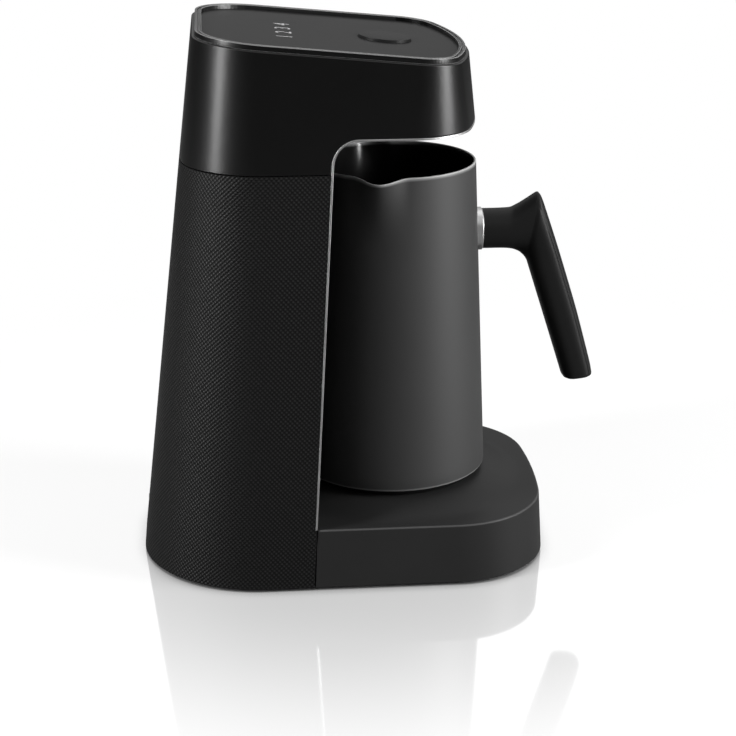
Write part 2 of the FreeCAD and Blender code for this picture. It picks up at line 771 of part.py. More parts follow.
def make_control_board():
    board_under = -(size.control_drop + size.board_thick)
    plate = top_box("control_plate", (-size.control_back, size.control_front),
                    (-size.control_half, size.control_half), (board_under, -size.control_drop))
    holes = control_posts("control_hole", board_under, -size.control_drop, size.screw_radius + size.fit_gap)
    sub_part("control_board", cut("control_board", plate, *holes))
    switch_top = size.switch_tall - size.control_drop
    half = size.switch_wide / 2
    block = top_box("switch_block", (size.button_place - half, size.button_place + half), (-half, half),
                    (-size.control_drop, switch_top))
    well = top_rod("switch_well", size.button_place, 0, switch_top - 4 * size.button_travel, REACH,
                   size.stem_radius + size.fit_gap)
    sub_part("button_switch", cut("button_switch", block, well))
    panel_under = -(size.panel_drop + size.panel_thick)
    ring_inner = size.button_radius + size.button_gap * 2 + size.button_flange
    ring_low = panel_under - size.button_flange * 2
    around = top_rod("light_ring_outside", size.button_place, 0, ring_low, panel_under,
                     ring_inner + size.wall)
    within = top_rod("light_ring_inside", size.button_place, 0, ring_low, panel_under, ring_inner)
    sub_part("light_ring", cut("light_ring", around, within))
    lamps = [
        top_rod(f"lamp_{index}", size.button_place, side * (ring_inner + size.wall / 2),
                -size.control_drop, ring_low - size.gap, size.screw_radius)
        for index, side in enumerate((-1, 1))
    ]
    sub_part("indicator_lamps", group("indicator_lamps", lamps))
    screws = []
    heads = control_posts("control_screw_head", board_under - size.screw_head_tall, board_under,
                          size.screw_head)
    shanks = control_posts("control_screw_shank", board_under, -size.control_drop + size.post_long / 2,
                           size.screw_radius - size.fit_gap / 2)
    for index, (head, shank) in enumerate(zip(heads, shanks)):
        screws.append(join(f"control_screw_{index}", head, shank))
    sub_part("control_screws", group("control_screws", screws))


# Foam sensor in the ceiling over the pot: barrel, lens and board

def make_sensor():
    low = size.underside - size.sensor_drop
    high = size.underside + size.sensor_tall
    barrel = round_pot("sensor_barrel", low, high, size.sensor_radius)
    flange = round_pot("sensor_flange_disc", ceiling_top, ceiling_top + size.liner_wall,
                       size.sensor_radius + size.sensor_flange)
    seat = round_pot("lens_seat", low, low + size.lens_thick, size.lens_radius + size.trim_gap)
    bore = round_pot("sensor_bore", low, high, size.lens_radius - size.lens_thick / 2)
    sub_part("sensor_housing", cut("sensor_housing", join("sensor_blank", barrel, flange), seat, bore))
    sub_part("sensor_lens", round_pot("sensor_lens", low, low + size.lens_thick, size.lens_radius))
    reach = size.sensor_radius + size.sensor_flange
    sub_part("sensor_board", box("sensor_board", (size.pot_axis - reach, size.pot_axis + reach),
                                 (-reach, reach), (high, high + size.board_thick)))


# Base housing: the platform with its raised round seat, open below

def make_base_housing():
    front = overlap("platform_front", platform_outside, cutout_base)
    shelf = overlap("platform_shelf", body_fit, box(
        "shelf_block", (frame_front, 0), (-REACH, REACH), (platform_under, size.platform_height)))
    hollow = overlap("platform_hollow", platform_inside, slab("hollow_levels", 0, platform_under))
    crown = overlap(
        "seat_crown",
        cone("crown_cone", (*on_axis, size.platform_height), size.seat_rise, size.crown_outer,
             size.seat_radius),
        join("crown_space", cutout_base,
             round_pot("crown_bore", 0, REACH, size.niche_radius - size.gap)))
    bosses = [
        rod(f"platform_boss_{index}", (size.boss_front, side * size.boss_side, plate_top),
            platform_under - plate_top, size.boss_radius)
        for index, side in enumerate((-1, 1))
    ]
    skin = cut("platform_skin", join("platform_block", front, shelf), hollow,
               slab("below_housing", -REACH, size.floor_gap))
    whole = join("platform_whole", skin, crown, *bosses)
    hole = round_pot("plug_hole", 0, REACH, size.plug_radius + size.gap)
    threads = [
        rod(f"platform_thread_{index}", (size.boss_front, side * size.boss_side, 0), platform_under,
            size.screw_radius)
        for index, side in enumerate((-1, 1))
    ]
    return sub_part("base_housing", cut("base_housing", whole, hole, *threads))


# Bottom plate with vents, foot seats and screw holes

def corners_of(front, back, side):
    return [(x, y) for x in (front, -back) for y in (-side, side)]


def foot_places():
    return corners_of(size.foot_front, size.foot_back, size.foot_side)


def screw_places():
    return corners_of(size.boss_front, size.frame_foot / 2 - frame_face, size.boss_side)


def make_base_plate():
    blank = overlap("plate_blank", platform_fit, slab("plate_levels", size.floor_gap, plate_top))
    seats = [
        rod(f"foot_seat_{index}", (x, y, 0), size.floor_gap + size.foot_sunk, size.foot_radius + size.fit_gap)
        for index, (x, y) in enumerate(foot_places())
    ]
    holes = [
        rod(f"plate_hole_{index}", (x, y, 0), REACH, size.screw_radius + size.fit_gap)
        for index, (x, y) in enumerate(screw_places())
    ]
    vents = []
    for index in range(-2, 3):
        start = size.pot_axis + index * size.vent_pitch - size.vent_wide / 2
        vents.append(box(f"vent_{index + 2}", (start, start + size.vent_wide),
                         (-size.vent_long / 2, size.vent_long / 2), (0, REACH)))
    wells = [
        rod(f"plate_well_{index}", (x, y, 0), size.floor_gap + size.screw_head_tall,
            size.screw_head + size.fit_gap)
        for index, (x, y) in enumerate(screw_places())
    ]
    sub_part("base_plate", cut("base_plate", blank, *seats, *holes, *wells, *vents))
    feet = [
        rod(f"foot_{index}", (x, y, 0), size.floor_gap + size.foot_sunk, size.foot_radius)
        for index, (x, y) in enumerate(foot_places())
    ]
    sub_part("rubber_feet", group("rubber_feet", feet))
    screws = []
    for index, (x, y) in enumerate(screw_places()):
        head = rod(f"base_screw_head_{index}", (x, y, size.floor_gap), size.screw_head_tall,
                   size.screw_head)
        shank = rod(f"base_screw_shank_{index}", (x, y, size.floor_gap), size.plate_thick + size.post_long,
                    size.screw_radius - size.fit_gap / 2)
        screws.append(join(f"base_screw_{index}", head, shank))
    sub_part("base_screws", group("base_screws", screws))


# Supply inlet: a bushing clamped in the column cover's back

gland_back = -tapered(size.back_low, size.back_high, size.gland_height + size.gland_neck) - size.gap
gland_front = gland_back + size.gland_long
flange_back = gland_back + size.wall / 2


def make_cord_gland(column_cover):
    neck = rod("gland_neck_rod", (gland_back, 0, size.gland_height), size.gland_long, size.gland_neck,
               ALONG_X)
    flange = rod("gland_flange", (flange_back, 0, size.gland_height), gland_front - flange_back,
                 size.gland_radius, ALONG_X)
    bore = rod("gland_bore_rod", (gland_back, 0, size.gland_height), size.gland_long, size.gland_bore,
               ALONG_X)
    blank = join("gland_blank", neck, flange)
    return sub_part("cord_gland", cut("cord_gland", blank, column_cover, bore))


# Inner frame: an upright plate behind the liner with a foot, a top flange and board posts

frame_front = size.pot_axis - size.niche_radius - size.liner_wall - size.frame_clear
frame_face = frame_front - size.frame_thick
board_front = frame_face - size.post_long
board_face = board_front - size.board_thick


def power_posts():
    return [
        (side * (size.power_half - size.post_inset), level)
        for side in (-1, 1)
        for level in (size.power_low + size.post_inset,
                      size.power_low + size.power_tall - size.post_inset)
    ]


def make_inner_frame():
    half = (-size.frame_half, size.frame_half)
    upright = box("frame_upright", (frame_face, frame_front), half, (plate_top, size.underside))
    foot = box("frame_foot_plate", (frame_face - size.frame_foot, frame_face), half,
               (plate_top, plate_top + 2 * size.frame_thick))
    flange = box("frame_flange", (frame_face - size.frame_foot, frame_face), half,
                 (size.underside - size.frame_thick, size.underside))
    posts = [
        rod(f"power_post_{index}", (board_front, y, z), size.post_long + size.frame_thick / 2,
            size.post_radius, ALONG_X)
        for index, (y, z) in enumerate(power_posts())
    ]
    struts = []
    for index, level in enumerate((size.power_low, size.power_low + size.power_tall)):
        strut = rod(f"liner_strut_{index}", (frame_front - size.frame_thick / 2, 0, level),
                    size.frame_clear + 2 * size.frame_thick, size.boss_radius, ALONG_X)
        struts.append(cut(f"liner_seat_{index}", strut, round_pot(
            f"liner_back_{index}", 0, REACH, size.niche_radius + size.liner_wall)))
    holes = [
        rod(f"power_thread_{index}", (board_front, y, z), size.post_long, size.screw_radius, ALONG_X)
        for index, (y, z) in enumerate(power_posts())
    ]
    for index, (x, y) in enumerate(screw_places()[2:]):
        holes.append(rod(f"foot_thread_{index}", (x, y, 0), 2 * plate_top + size.plate_thick,
                         size.screw_radius))
        holes.append(rod(f"flange_thread_{index}", (x, y, size.underside - size.wall), REACH,
                         size.screw_radius + size.fit_gap))
    frame = cut("inner_frame", join("frame_blank", upright, foot, flange, *posts, *struts), *holes,
                control_lead_slot("flange_slot"), heater_lead_notch("frame_notch"))
    return sub_part("inner_frame", frame)


def make_frame_screws():
    screws = []
    for index, (x, y) in enumerate(screw_places()[2:]):
        under = size.underside - size.frame_thick
        head = rod(f"frame_screw_head_{index}", (x, y, under - size.screw_head_tall), size.screw_head_tall,
                   size.screw_head)
        shank = rod(f"frame_screw_shank_{index}", (x, y, under), size.frame_thick, size.screw_radius)
        screws.append(join(f"frame_screw_{index}", head, shank))
    sub_part("frame_screws", group("frame_screws", screws))


# Power board and what is soldered to it

def make_power_board():
    board_high = size.power_low + size.power_tall
    plate = box("power_plate", (board_face, board_front), (-size.power_half, size.power_half),
                (size.power_low, board_high))
    holes = [
        rod(f"power_hole_{index}", (board_face, y, z), size.board_thick, size.screw_radius + size.fit_gap,
            ALONG_X)
        for index, (y, z) in enumerate(power_posts())
    ]
    sub_part("power_board", cut("power_board", plate, *holes))
    low = size.power_low + 2 * size.post_inset
    block_back = board_face - size.block_deep
    block_high = low + size.block_tall
    sub_part("transformer", box("transformer", (block_back, board_face),
                                (-size.block_wide, -size.lead_pitch), (low, block_high)))
    sub_part("relay", box("relay", (block_back + size.post_radius, board_face),
                          (size.post_inset, size.block_wide), (low, block_high - size.post_inset)))
    sub_part("capacitor", rod("capacitor",
                              (block_back, -size.block_wide / 2, low + 1.5 * size.block_tall),
                              size.block_deep, size.block_tall / 4, ALONG_X))
    sub_part("terminal_block", box("terminal_block", (board_face - size.block_deep / 2, board_face),
                                   (-size.block_wide / 2, size.block_wide / 2),
                                   (board_high - 3 * size.post_inset, board_high - size.post_inset)))
    screws = []
    for index, (y, z) in enumerate(power_posts()):
        head = rod(f"board_screw_head_{index}", (board_face - size.screw_head_tall, y, z),
                   size.screw_head_tall, size.screw_head, ALONG_X)
        shank = rod(f"board_screw_shank_{index}", (board_face, y, z), size.board_thick + size.post_long / 2,
                    size.screw_radius - size.fit_gap / 2, ALONG_X)
        screws.append(join(f"board_screw_{index}", head, shank))
    sub_part("board_screws", group("board_screws", screws))


# Cordless connector: post on the seat, its contacts and its seal

def make_base_connector():
    seal_low = platform_under - size.seal_thick
    flange_low = seal_low - size.plate_thick
    top = seat_height + size.post_tall
    post = round_pot("plug_post", flange_low, top, size.plug_radius)
    flange = round_pot("plug_flange_disc", flange_low, seal_low, size.plug_radius + size.plug_flange)
    slot = tube("plug_slot", (*on_axis, top - size.contact_sunk), size.contact_sunk,
                size.contact_inner - size.contact_clear, size.contact_outer + size.contact_clear)
    pin_hole = round_pot("plug_pin_hole", top - size.contact_sunk, top, size.contact_pin + size.contact_clear)
    sub_part("base_connector", cut("base_connector", join("plug_blank", post, flange), slot, pin_hole))
    sub_part("connector_seal", tube("connector_seal", (*on_axis, seal_low), size.seal_thick,
                                    size.plug_radius + size.gap, size.plug_radius + size.plug_flange))
    contact_low = top - size.contact_sunk
    contact_tall = size.contact_sunk - size.gap
    sub_part("connector_contacts", group("connector_contacts", (
        tube("plug_ring", (*on_axis, contact_low), contact_tall, size.contact_inner, size.contact_outer),
        round_pot("plug_pin", contact_low, contact_low + contact_tall, size.contact_pin),
    )))


# Leads held inside the body: straight runs joined by round bends

def lead(name, route):
    """A tube of lead_radius along route, each corner rounded to lead_bend."""
    spots = [FreeCAD.Vector(*(as_size(amount).number for amount in spot)) for spot in route]
    edges = []
    last = spots[0]
    for before, corner, after in zip(spots, spots[1:], spots[2:]):
        inwards = (before - corner).normalize()
        outwards = (after - corner).normalize()
        half_turn = (math.pi - inwards.getAngle(outwards)) / 2
        back_off = size.lead_bend.number * math.tan(half_turn)
        start = corner + inwards * back_off
        end = corner + outwards * back_off
        middle_way = (inwards + outwards).normalize()
        rise = size.lead_bend.number / math.cos(half_turn) - size.lead_bend.number
        edges.append(Part.LineSegment(last, start).toShape())
        edges.append(Part.Arc(start, corner + middle_way * rise, end).toShape())
        last = end
    edges.append(Part.LineSegment(last, spots[-1]).toShape())
    path = Part.Wire(edges)
    circle = Part.Circle(spots[0], spots[1] - spots[0], size.lead_radius.number)
    section = Part.Wire(circle.toShape())
    solid = document.addObject("Part::Feature", name)
    solid.Shape = path.makePipeShell([section], True, True)
    return solid


def make_leads():
    board_high = size.power_low + size.power_tall
    behind = board_face - size.post_long
    flange_low = platform_under - size.seal_thick - size.plate_thick
    crossing = (plate_top + flange_low) / 2
    panel_x, panel_y, panel_z = on_top(-size.control_back + size.post_long, 0,
                                       -size.control_drop - size.board_thick - size.fit_gap)
    supply = []
    heater = []
    control = []
    for index, side in enumerate((-0.5, 0.5)):
        across = side * size.lead_pitch
        supply.append(lead(f"supply_lead_{index}", (
            (gland_front, across, size.gland_height),
            (behind, across, size.gland_height),
            (behind, across, board_high - 3 * size.post_inset),
        )))
        heater.append(lead(f"heater_lead_{index}", (
            (board_face - size.lead_radius, 4 * size.lead_pitch + across, size.power_low + size.post_inset),
            (board_face - size.lead_radius, 4 * size.lead_pitch + across, crossing),
            (size.pot_axis, 4 * size.lead_pitch + across, crossing),
            (size.pot_axis, 4 * size.lead_pitch + across, flange_low),
        )))
        control.append(lead(f"control_lead_{index}", (
            (board_face - size.lead_radius, across, board_high - size.post_inset),
            (board_face - size.lead_radius, across, size.underside + 2 * size.lead_bend),
            (panel_x, across, size.underside + 2 * size.lead_bend),
            (panel_x, across, panel_z),
        )))
    sub_part("supply_leads", group("supply_leads", supply))
    sub_part("heater_leads", group("heater_leads", heater))
    sub_part("control_leads", group("control_leads", control))


# Pot: a tapering steel vessel with two spouts, a floor and a hollow foot

def pot_radius(height):
    """Outer radius of the pot's wall at a height."""
    share = (size.pot_high - height) / (size.pot_high - size.pot_low)
    return size.pot_radius_high + (size.pot_radius_low - size.pot_radius_high) * share


def spouts(name, inset, above):
    """Both spout cones, moved inwards by inset and reaching above the rim."""
    slope = (size.spout_radius - size.spout_root) / size.spout_tall
    cones = []
    for index, side in enumerate((-1, 1)):
        x = size.pot_axis + size.spout_centre * cosine(size.spout_angle)
        y = side * size.spout_centre * sine(size.spout_angle)
        cones.append(cone(f"{name}_{index}", (x, y, size.pot_high - size.spout_tall),
                          size.spout_tall + above, size.spout_root - inset,
                          size.spout_radius - inset + slope * above))
    return cones


def pot_cone(name, low, high, inset):
    return cone(name, (*on_axis, low), as_size(high) - low, pot_radius(as_size(low)) - inset,
                pot_radius(as_size(high)) - inset)


def make_pot_body():
    inside_low = size.pot_floor + size.pot_floor_thick
    above = size.pot_wall
    outside = join("pot_outside", pot_cone("pot_outer", size.pot_low, size.pot_high, 0),
                   *spouts("spout_outer", 0, 0))
    inside = pot_cone("pot_inner", inside_low, size.pot_high + above, size.pot_wall)
    skirt = pot_cone("pot_skirt", size.pot_low, size.pot_floor, size.pot_wall)
    return sub_part("pot_body", cut("pot_body", outside, inside, skirt,
                                    *spouts("spout_inner", size.pot_wall, above)))


# Heater under the pot's floor: plate, ring element and thermostat

def make_heater():
    plate_low = size.pot_floor - size.heater_thick
    plate = round_pot("heater_disc", plate_low, size.pot_floor, size.heater_radius)
    bosses = [
        rod(f"pot_boss_{index}", (*spot, bottom_top), plate_low - bottom_top, size.post_radius)
        for index, spot in enumerate(pot_screw_places())
    ]
    threads = [
        rod(f"pot_thread_{index}", (*spot, bottom_top), plate_low - bottom_top, size.screw_radius)
        for index, spot in enumerate(pot_screw_places())
    ]
    sub_part("heater_plate", cut("heater_plate", join("heater_blank", plate, *bosses), *threads))
    ring = document.addObject("Part::Torus", "element_torus")
    bind(ring, "Radius1", size.element_ring)
    bind(ring, "Radius2", size.element_radius)
    place(ring, (*on_axis, plate_low - size.element_radius))
    tails = [
        rod(f"element_tail_{index}", (size.pot_axis + side * size.element_ring, as_size(0),
                                      bottom_top + size.gap),
            plate_low - size.element_radius - bottom_top - size.gap, size.element_radius / 2)
        for index, side in enumerate((-1, 1))
    ]
    sub_part("heating_element", join("heating_element", ring, *tails))
    sub_part("thermostat", round_pot("thermostat", socket_top, plate_low, size.thermostat_radius))


# Pot's underside: cover, cordless socket with contacts, and screws

pot_foot = seat_height + size.foot_gap
bottom_top = size.pot_low + size.bottom_plug
socket_top = pot_foot + size.socket_depth + size.socket_roof
socket_radius = size.plug_radius + size.gap * 2


def pot_screw_places():
    return [
        (size.pot_axis + size.pot_screw_ring * cosine(angle), size.pot_screw_ring * sine(angle))
        for angle in (60, 180, 300)
    ]


def make_pot_underside():
    foot = round_pot("foot_ring", pot_foot, size.pot_low, size.pot_radius_low - size.foot_inset)
    plug = round_pot("bottom_plug_disc", size.pot_low, bottom_top,
                     size.pot_radius_low - size.pot_wall - 2 * size.gap)
    hollow = tube("bottom_hollow", (*on_axis, pot_foot + size.bottom_thick),
                  bottom_top - pot_foot - size.bottom_thick, socket_radius + 2 * size.socket_wall,
                  size.pot_screw_ring - size.screw_head - size.gap)
    hole = round_pot("socket_hole", 0, REACH, socket_radius + size.socket_wall + size.trim_gap)
    head_seats = [
        rod(f"pot_head_seat_{index}", (*spot, pot_foot), size.screw_head_tall, size.screw_head + size.fit_gap)
        for index, spot in enumerate(pot_screw_places())
    ]
    shank_holes = [
        rod(f"pot_shank_hole_{index}", (*spot, pot_foot), bottom_top - pot_foot,
            size.screw_radius + size.fit_gap)
        for index, spot in enumerate(pot_screw_places())
    ]
    sub_part("pot_bottom_cover", cut("pot_bottom_cover", join("bottom_blank", foot, plug), hollow, hole,
                                     *head_seats, *shank_holes))
    cup = round_pot("socket_cup", pot_foot, socket_top, socket_radius + size.socket_wall)
    recess = round_pot("socket_recess", pot_foot, pot_foot + size.socket_depth, socket_radius)
    sub_part("pot_connector", cut("pot_connector", cup, recess))
    contact_low = seat_height + size.post_tall + size.gap
    contact_tall = pot_foot + size.socket_depth - contact_low
    sub_part("pot_contacts", group("pot_contacts", (
        tube("socket_ring", (*on_axis, contact_low), contact_tall, size.contact_inner, size.contact_outer),
        round_pot("socket_pin", contact_low, contact_low + contact_tall, size.contact_pin),
    )))
    screws = []
    for index, spot in enumerate(pot_screw_places()):
        head = rod(f"pot_screw_head_{index}", (*spot, pot_foot), size.screw_head_tall, size.screw_head)
        shank = rod(f"pot_screw_shank_{index}", (*spot, pot_foot), bottom_top - pot_foot + size.post_long / 2,
                    size.screw_radius - size.fit_gap / 2)
        screws.append(join(f"pot_screw_{index}", head, shank))
    sub_part("pot_screws", group("pot_screws", screws))


# Handle: a neck with a thumb rest and a leaning grip, faced with its own cover

def from_axis(out, height):
    return size.pot_axis + out, height


def grip_centre():
    """Centre of the grip's outer bow."""
    x0, z0 = from_axis(size.grip_end_out, size.grip_end_high)
    x1, z1 = from_axis(size.tip_out, size.tip_high)
    chord = root((x1 - x0) * (x1 - x0) + (z1 - z0) * (z1 - z0))
    rise = root(size.grip_bow * size.grip_bow - chord * chord / 4)
    return (x0 + x1) / 2 - (z1 - z0) / chord * rise, (z0 + z1) / 2 + (x1 - x0) / chord * rise


def make_handle():
    corners = (
        from_axis(size.neck_start, size.neck_low),
        from_axis(size.bend_out, size.neck_low),
        from_axis(size.grip_heel_out, size.grip_heel_high),
        from_axis(size.grip_bottom_out, size.grip_bottom_high),
        from_axis(size.grip_end_out, size.grip_end_high),
        from_axis(size.tip_out, size.tip_high),
        from_axis(size.ear_out, size.ear_high),
        from_axis(size.dip_out, size.neck_high),
        from_axis(size.neck_start, size.neck_high),
    )
    blank = prism("handle_blank", corners, size.handle_half, {4: size.grip_bow})

    def at_bend(edge):
        middle = edge.BoundBox.Center
        return (abs(middle.x - corners[1][0].number) < 1e-3
                and abs(middle.z - corners[1][1].number) < 1e-3)

    fillet(blank, "handle_bend", size.bend_radius, at_bend)

    def on_side(edge):
        bounds = edge.BoundBox
        flat = bounds.YLength < 1e-3 and abs(abs(bounds.YMin) - size.handle_half.number) < 1e-3
        return flat and bounds.DiagonalLength > 2 * size.bend_radius.number

    fillet(blank, "handle_edges", size.handle_round, on_side)
    centre_x, centre_z = grip_centre()
    start = (centre_x, as_size(-REACH), centre_z)
    behind_cover = rod("behind_cover", start, 2 * REACH, size.grip_bow - size.cover_thick, ALONG_Y)
    core = rod("grip_core", start, 2 * REACH, size.grip_bow - size.cover_thick - size.cover_gap, ALONG_Y)
    sub_part("handle_cover", cut("handle_cover", blank, behind_cover))
    level = (size.neck_low + size.neck_high) / 2
    bracket_end = size.pot_axis + size.neck_start + size.bracket_long
    clear = size.bracket_half + size.fit_gap
    pocket = box("bracket_pocket", (size.pot_axis, bracket_end + size.fit_gap), (-clear, clear),
                 (level - clear, level + clear))
    seat = size.pot_axis + size.dip_out
    shank_hole = rod("handle_shank_hole", (size.pot_axis, 0, level), REACH, size.screw_radius + size.fit_gap,
                     ALONG_X)
    head_well = rod("handle_head_well", (seat, 0, level), REACH, size.screw_head + size.fit_gap, ALONG_X)
    sub_part("handle_body", cut("handle_body", overlap("handle_core", blank, core), pocket, shank_hole,
                                head_well))
    wall_cut = pot_cone("handle_wall_cut", size.pot_low, size.pot_high, 0)
    bracket = box("bracket_block", (size.pot_axis, bracket_end), (-size.bracket_half, size.bracket_half),
                  (level - size.bracket_half, level + size.bracket_half))
    thread = rod("bracket_thread", (size.pot_axis, 0, level), REACH, size.screw_radius, ALONG_X)
    sub_part("handle_bracket", cut("handle_bracket", bracket, wall_cut, thread))
    collar = box("collar_block", (size.pot_axis, size.pot_axis + size.neck_start - size.cover_gap),
                 (-size.collar_half, size.collar_half), (size.neck_low + size.gap, size.neck_high - size.gap))
    sub_part("handle_collar", cut("handle_collar", collar, wall_cut, pocket))
    head = rod("handle_screw_head", (seat, 0, level), size.screw_head_tall, size.screw_head, ALONG_X)
    shank = rod("handle_screw_shank", (size.pot_axis + size.neck_start + size.bracket_long / 2, 0, level),
                size.dip_out - size.neck_start - size.bracket_long / 2,
                size.screw_radius - size.fit_gap / 2, ALONG_X)
    sub_part("handle_screw", join("handle_screw", head, shank))


column_cover = make_column_cover()
make_head_cover()
make_cutout_trim()
make_niche_liner()
make_head_underside()
make_top_rim()
make_control_panel()
make_button()
make_control_board()
make_sensor()
make_base_housing()
make_base_plate()
make_cord_gland(column_cover)
make_inner_frame()
make_frame_screws()
make_power_board()
make_leads()
make_base_connector()
make_pot_body()
make_heater()
make_pot_underside()
make_handle()

document.recompute()
faults = [thing.Name for thing in document.Objects if "Invalid" in thing.State or "Error" in thing.State]
for piece in SUB_PARTS:
    if piece.Shape.isNull() or not piece.Shape.isValid() or not piece.Shape.Solids:
        faults.append(piece.Label)
if faults:
    raise RuntimeError("These did not build: " + ", ".join(faults))

os.makedirs("parts", exist_ok=True)
for piece in SUB_PARTS:
    piece.Shape.exportStep(f"parts/{piece.Label}.step")
print(len(SUB_PARTS), "sub-parts")
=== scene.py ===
# %% [markdown]
# This lesson dresses an electric coffee maker: a textured column, a smooth head with a
# sloping panel, a low platform, and a matt pot with two spouts that lifts off. The packed
# CAD model is loaded first and stays where it is. Everything that follows is in metres, in
# its frame: X points to the pot's handle, Z is up, and the feet stand on Z = 0.

# %% Load the frame
import json
import math
import bpy
import numpy as np
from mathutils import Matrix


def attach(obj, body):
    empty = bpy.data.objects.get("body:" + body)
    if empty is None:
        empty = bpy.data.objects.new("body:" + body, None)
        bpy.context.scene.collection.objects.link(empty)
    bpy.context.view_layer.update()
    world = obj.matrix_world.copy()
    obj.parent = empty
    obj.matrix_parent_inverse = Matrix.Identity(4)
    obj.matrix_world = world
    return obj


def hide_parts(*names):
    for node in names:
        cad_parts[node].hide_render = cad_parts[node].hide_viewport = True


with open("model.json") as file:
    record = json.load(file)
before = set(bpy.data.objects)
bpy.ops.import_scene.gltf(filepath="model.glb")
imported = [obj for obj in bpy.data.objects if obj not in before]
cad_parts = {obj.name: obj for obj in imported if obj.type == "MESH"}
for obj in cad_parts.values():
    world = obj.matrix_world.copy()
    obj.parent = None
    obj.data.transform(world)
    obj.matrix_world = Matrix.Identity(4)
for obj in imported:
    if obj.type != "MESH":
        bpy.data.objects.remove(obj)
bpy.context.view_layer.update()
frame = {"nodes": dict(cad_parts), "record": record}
MM = 0.001
MICRON = 0.001 * MM

# %% [markdown]
# The camera comes next, because every later choice is judged through it. It could be set
# by eye, but its place, turn and focal length were solved from the outlines of the object,
# so that a piece of the right size lands in the right place. The small shift says that the
# picture was cropped a little off its optical centre.

# %% Camera
IMAGE_SIDE = 736
FOCAL_PIXELS = 1887.7
OPTICAL_CENTRE = (372.42, 366.28)
SENSOR_MM = 36.0
SEEN_TO = 20
CAMERA_PLACE = (-0.07119, -0.84566, 0.38426)
CAMERA_PITCH = math.radians(-19.498)
CAMERA_YAW = math.radians(-4.99)

camera_data = bpy.data.cameras.new("camera")
camera_data.sensor_width = SENSOR_MM
camera_data.lens = SENSOR_MM * FOCAL_PIXELS / IMAGE_SIDE
camera_data.shift_x = (IMAGE_SIDE / 2 - OPTICAL_CENTRE[0]) / IMAGE_SIDE
camera_data.shift_y = (OPTICAL_CENTRE[1] - IMAGE_SIDE / 2) / IMAGE_SIDE
camera_data.clip_end = SEEN_TO
camera = bpy.data.objects.new("camera", camera_data)
camera.location = CAMERA_PLACE
camera.rotation_euler = (math.pi / 2 + CAMERA_PITCH, 0, CAMERA_YAW)
bpy.context.collection.objects.link(camera)
bpy.context.scene.camera = camera
print("camera lens", round(camera_data.lens, 2), "mm")

# %% [markdown]
# A finish is a tree of nodes, and such a tree is easier to read as a sum than as boxes and
# wires. The class below wraps one socket, so that `1 - mask` or `a * b + c` adds the Math
# nodes that it needs. The reflected forms are there because the plain number may come
# first. Every other node comes from one function, which takes the node's type, its
# settings and what goes into its sockets.

# %% Shader sums
class Value:
    """A number that varies over a surface, held as a socket of a node tree."""

    def __init__(self, tree, socket):
        self.tree = tree
        self.socket = socket

    def combine(self, operation, *terms):
        inputs = dict(enumerate(terms))
        return node(self.tree, "ShaderNodeMath", {"operation": operation}, inputs)[0]

    def __add__(self, other):
        return self.combine("ADD", self, other)

    def __sub__(self, other):
        return self.combine("SUBTRACT", self, other)

    def __rsub__(self, other):
        return self.combine("SUBTRACT", other, self)

    def __mul__(self, other):
        return self.combine("MULTIPLY", self, other)

    __radd__ = __add__
    __rmul__ = __mul__

    def cosine(self):
        return self.combine("COSINE", self)

    def at_most(self, limit):
        return self.combine("MINIMUM", self, limit)

    def ease(self, low, high):
        """0 below low, 1 above high and smooth in between."""
        settings = {"interpolation_type": "SMOOTHSTEP", "clamp": True}
        return node(self.tree, "ShaderNodeMapRange", settings, {0: self, 1: low, 2: high})[0]


# %% Any other node
def node(tree, kind, settings=None, inputs=None):
    """Add a node, set it up, feed it, and return its outputs as values."""
    made = tree.nodes.new(kind)
    for name, setting in (settings or {}).items():
        setattr(made, name, setting)
    for name, given in (inputs or {}).items():
        if isinstance(given, Value):
            tree.links.new(given.socket, made.inputs[name])
        else:
            made.inputs[name].default_value = given
    return [Value(tree, output) for output in made.outputs]


# %% [markdown]
# The words that the finishes share come before them: a grey, a new tree, a noise that sits
# on the object's own coordinates, a bump, a mix of two colours and the closing shader. A
# number that is the same all over a surface goes straight on the shader's socket, and only
# what varies comes through a link, because that is what an export can bake.

# %% Words for finishes
OBJECT_PLACE = 3
MIX_SHARE, MIX_FIRST, MIX_SECOND, MIX_RESULT = 0, 6, 7, 2
PLAIN_SOCKETS = {
    "specular": "Specular IOR Level",
    "metallic": "Metallic",
    "transmission": "Transmission Weight",
}


def grey(level):
    return (level, level, level, 1.0)


def new_material(name):
    material = bpy.data.materials.new(name)
    material.use_nodes = True
    material.node_tree.nodes.clear()
    return material, material.node_tree


def finish_material(tree, colour, roughness, normal=None, **plain):
    """Join colour, roughness and normal in one shader, whose own sockets take plain numbers."""
    inputs = {"Base Color": colour, "Roughness": roughness}
    inputs.update({PLAIN_SOCKETS[word]: number for word, number in plain.items()})
    if normal is not None:
        inputs["Normal"] = normal
    shader = node(tree, "ShaderNodeBsdfPrincipled", None, inputs)[0]
    node(tree, "ShaderNodeOutputMaterial", None, {"Surface": shader})


def mix_colour(tree, share, first, second):
    inputs = {MIX_SHARE: share, MIX_FIRST: first, MIX_SECOND: second}
    return node(tree, "ShaderNodeMix", {"data_type": "RGBA"}, inputs)[MIX_RESULT]


def bump(tree, height, distance):
    return node(tree, "ShaderNodeBump", None, {"Height": height, "Distance": distance})[0]


def noise(tree, scale, detail=2.0):
    place = node(tree, "ShaderNodeTexCoord")[OBJECT_PLACE]
    inputs = {"Vector": place, "Scale": scale, "Detail": detail}
    return node(tree, "ShaderNodeTexNoise", None, inputs)[0]


def stored(tree, attribute):
    """A number that a mesh holds at its points, or 0 on a mesh that has none."""
    return node(tree, "ShaderNodeAttribute", {"attribute_name": attribute})[2]


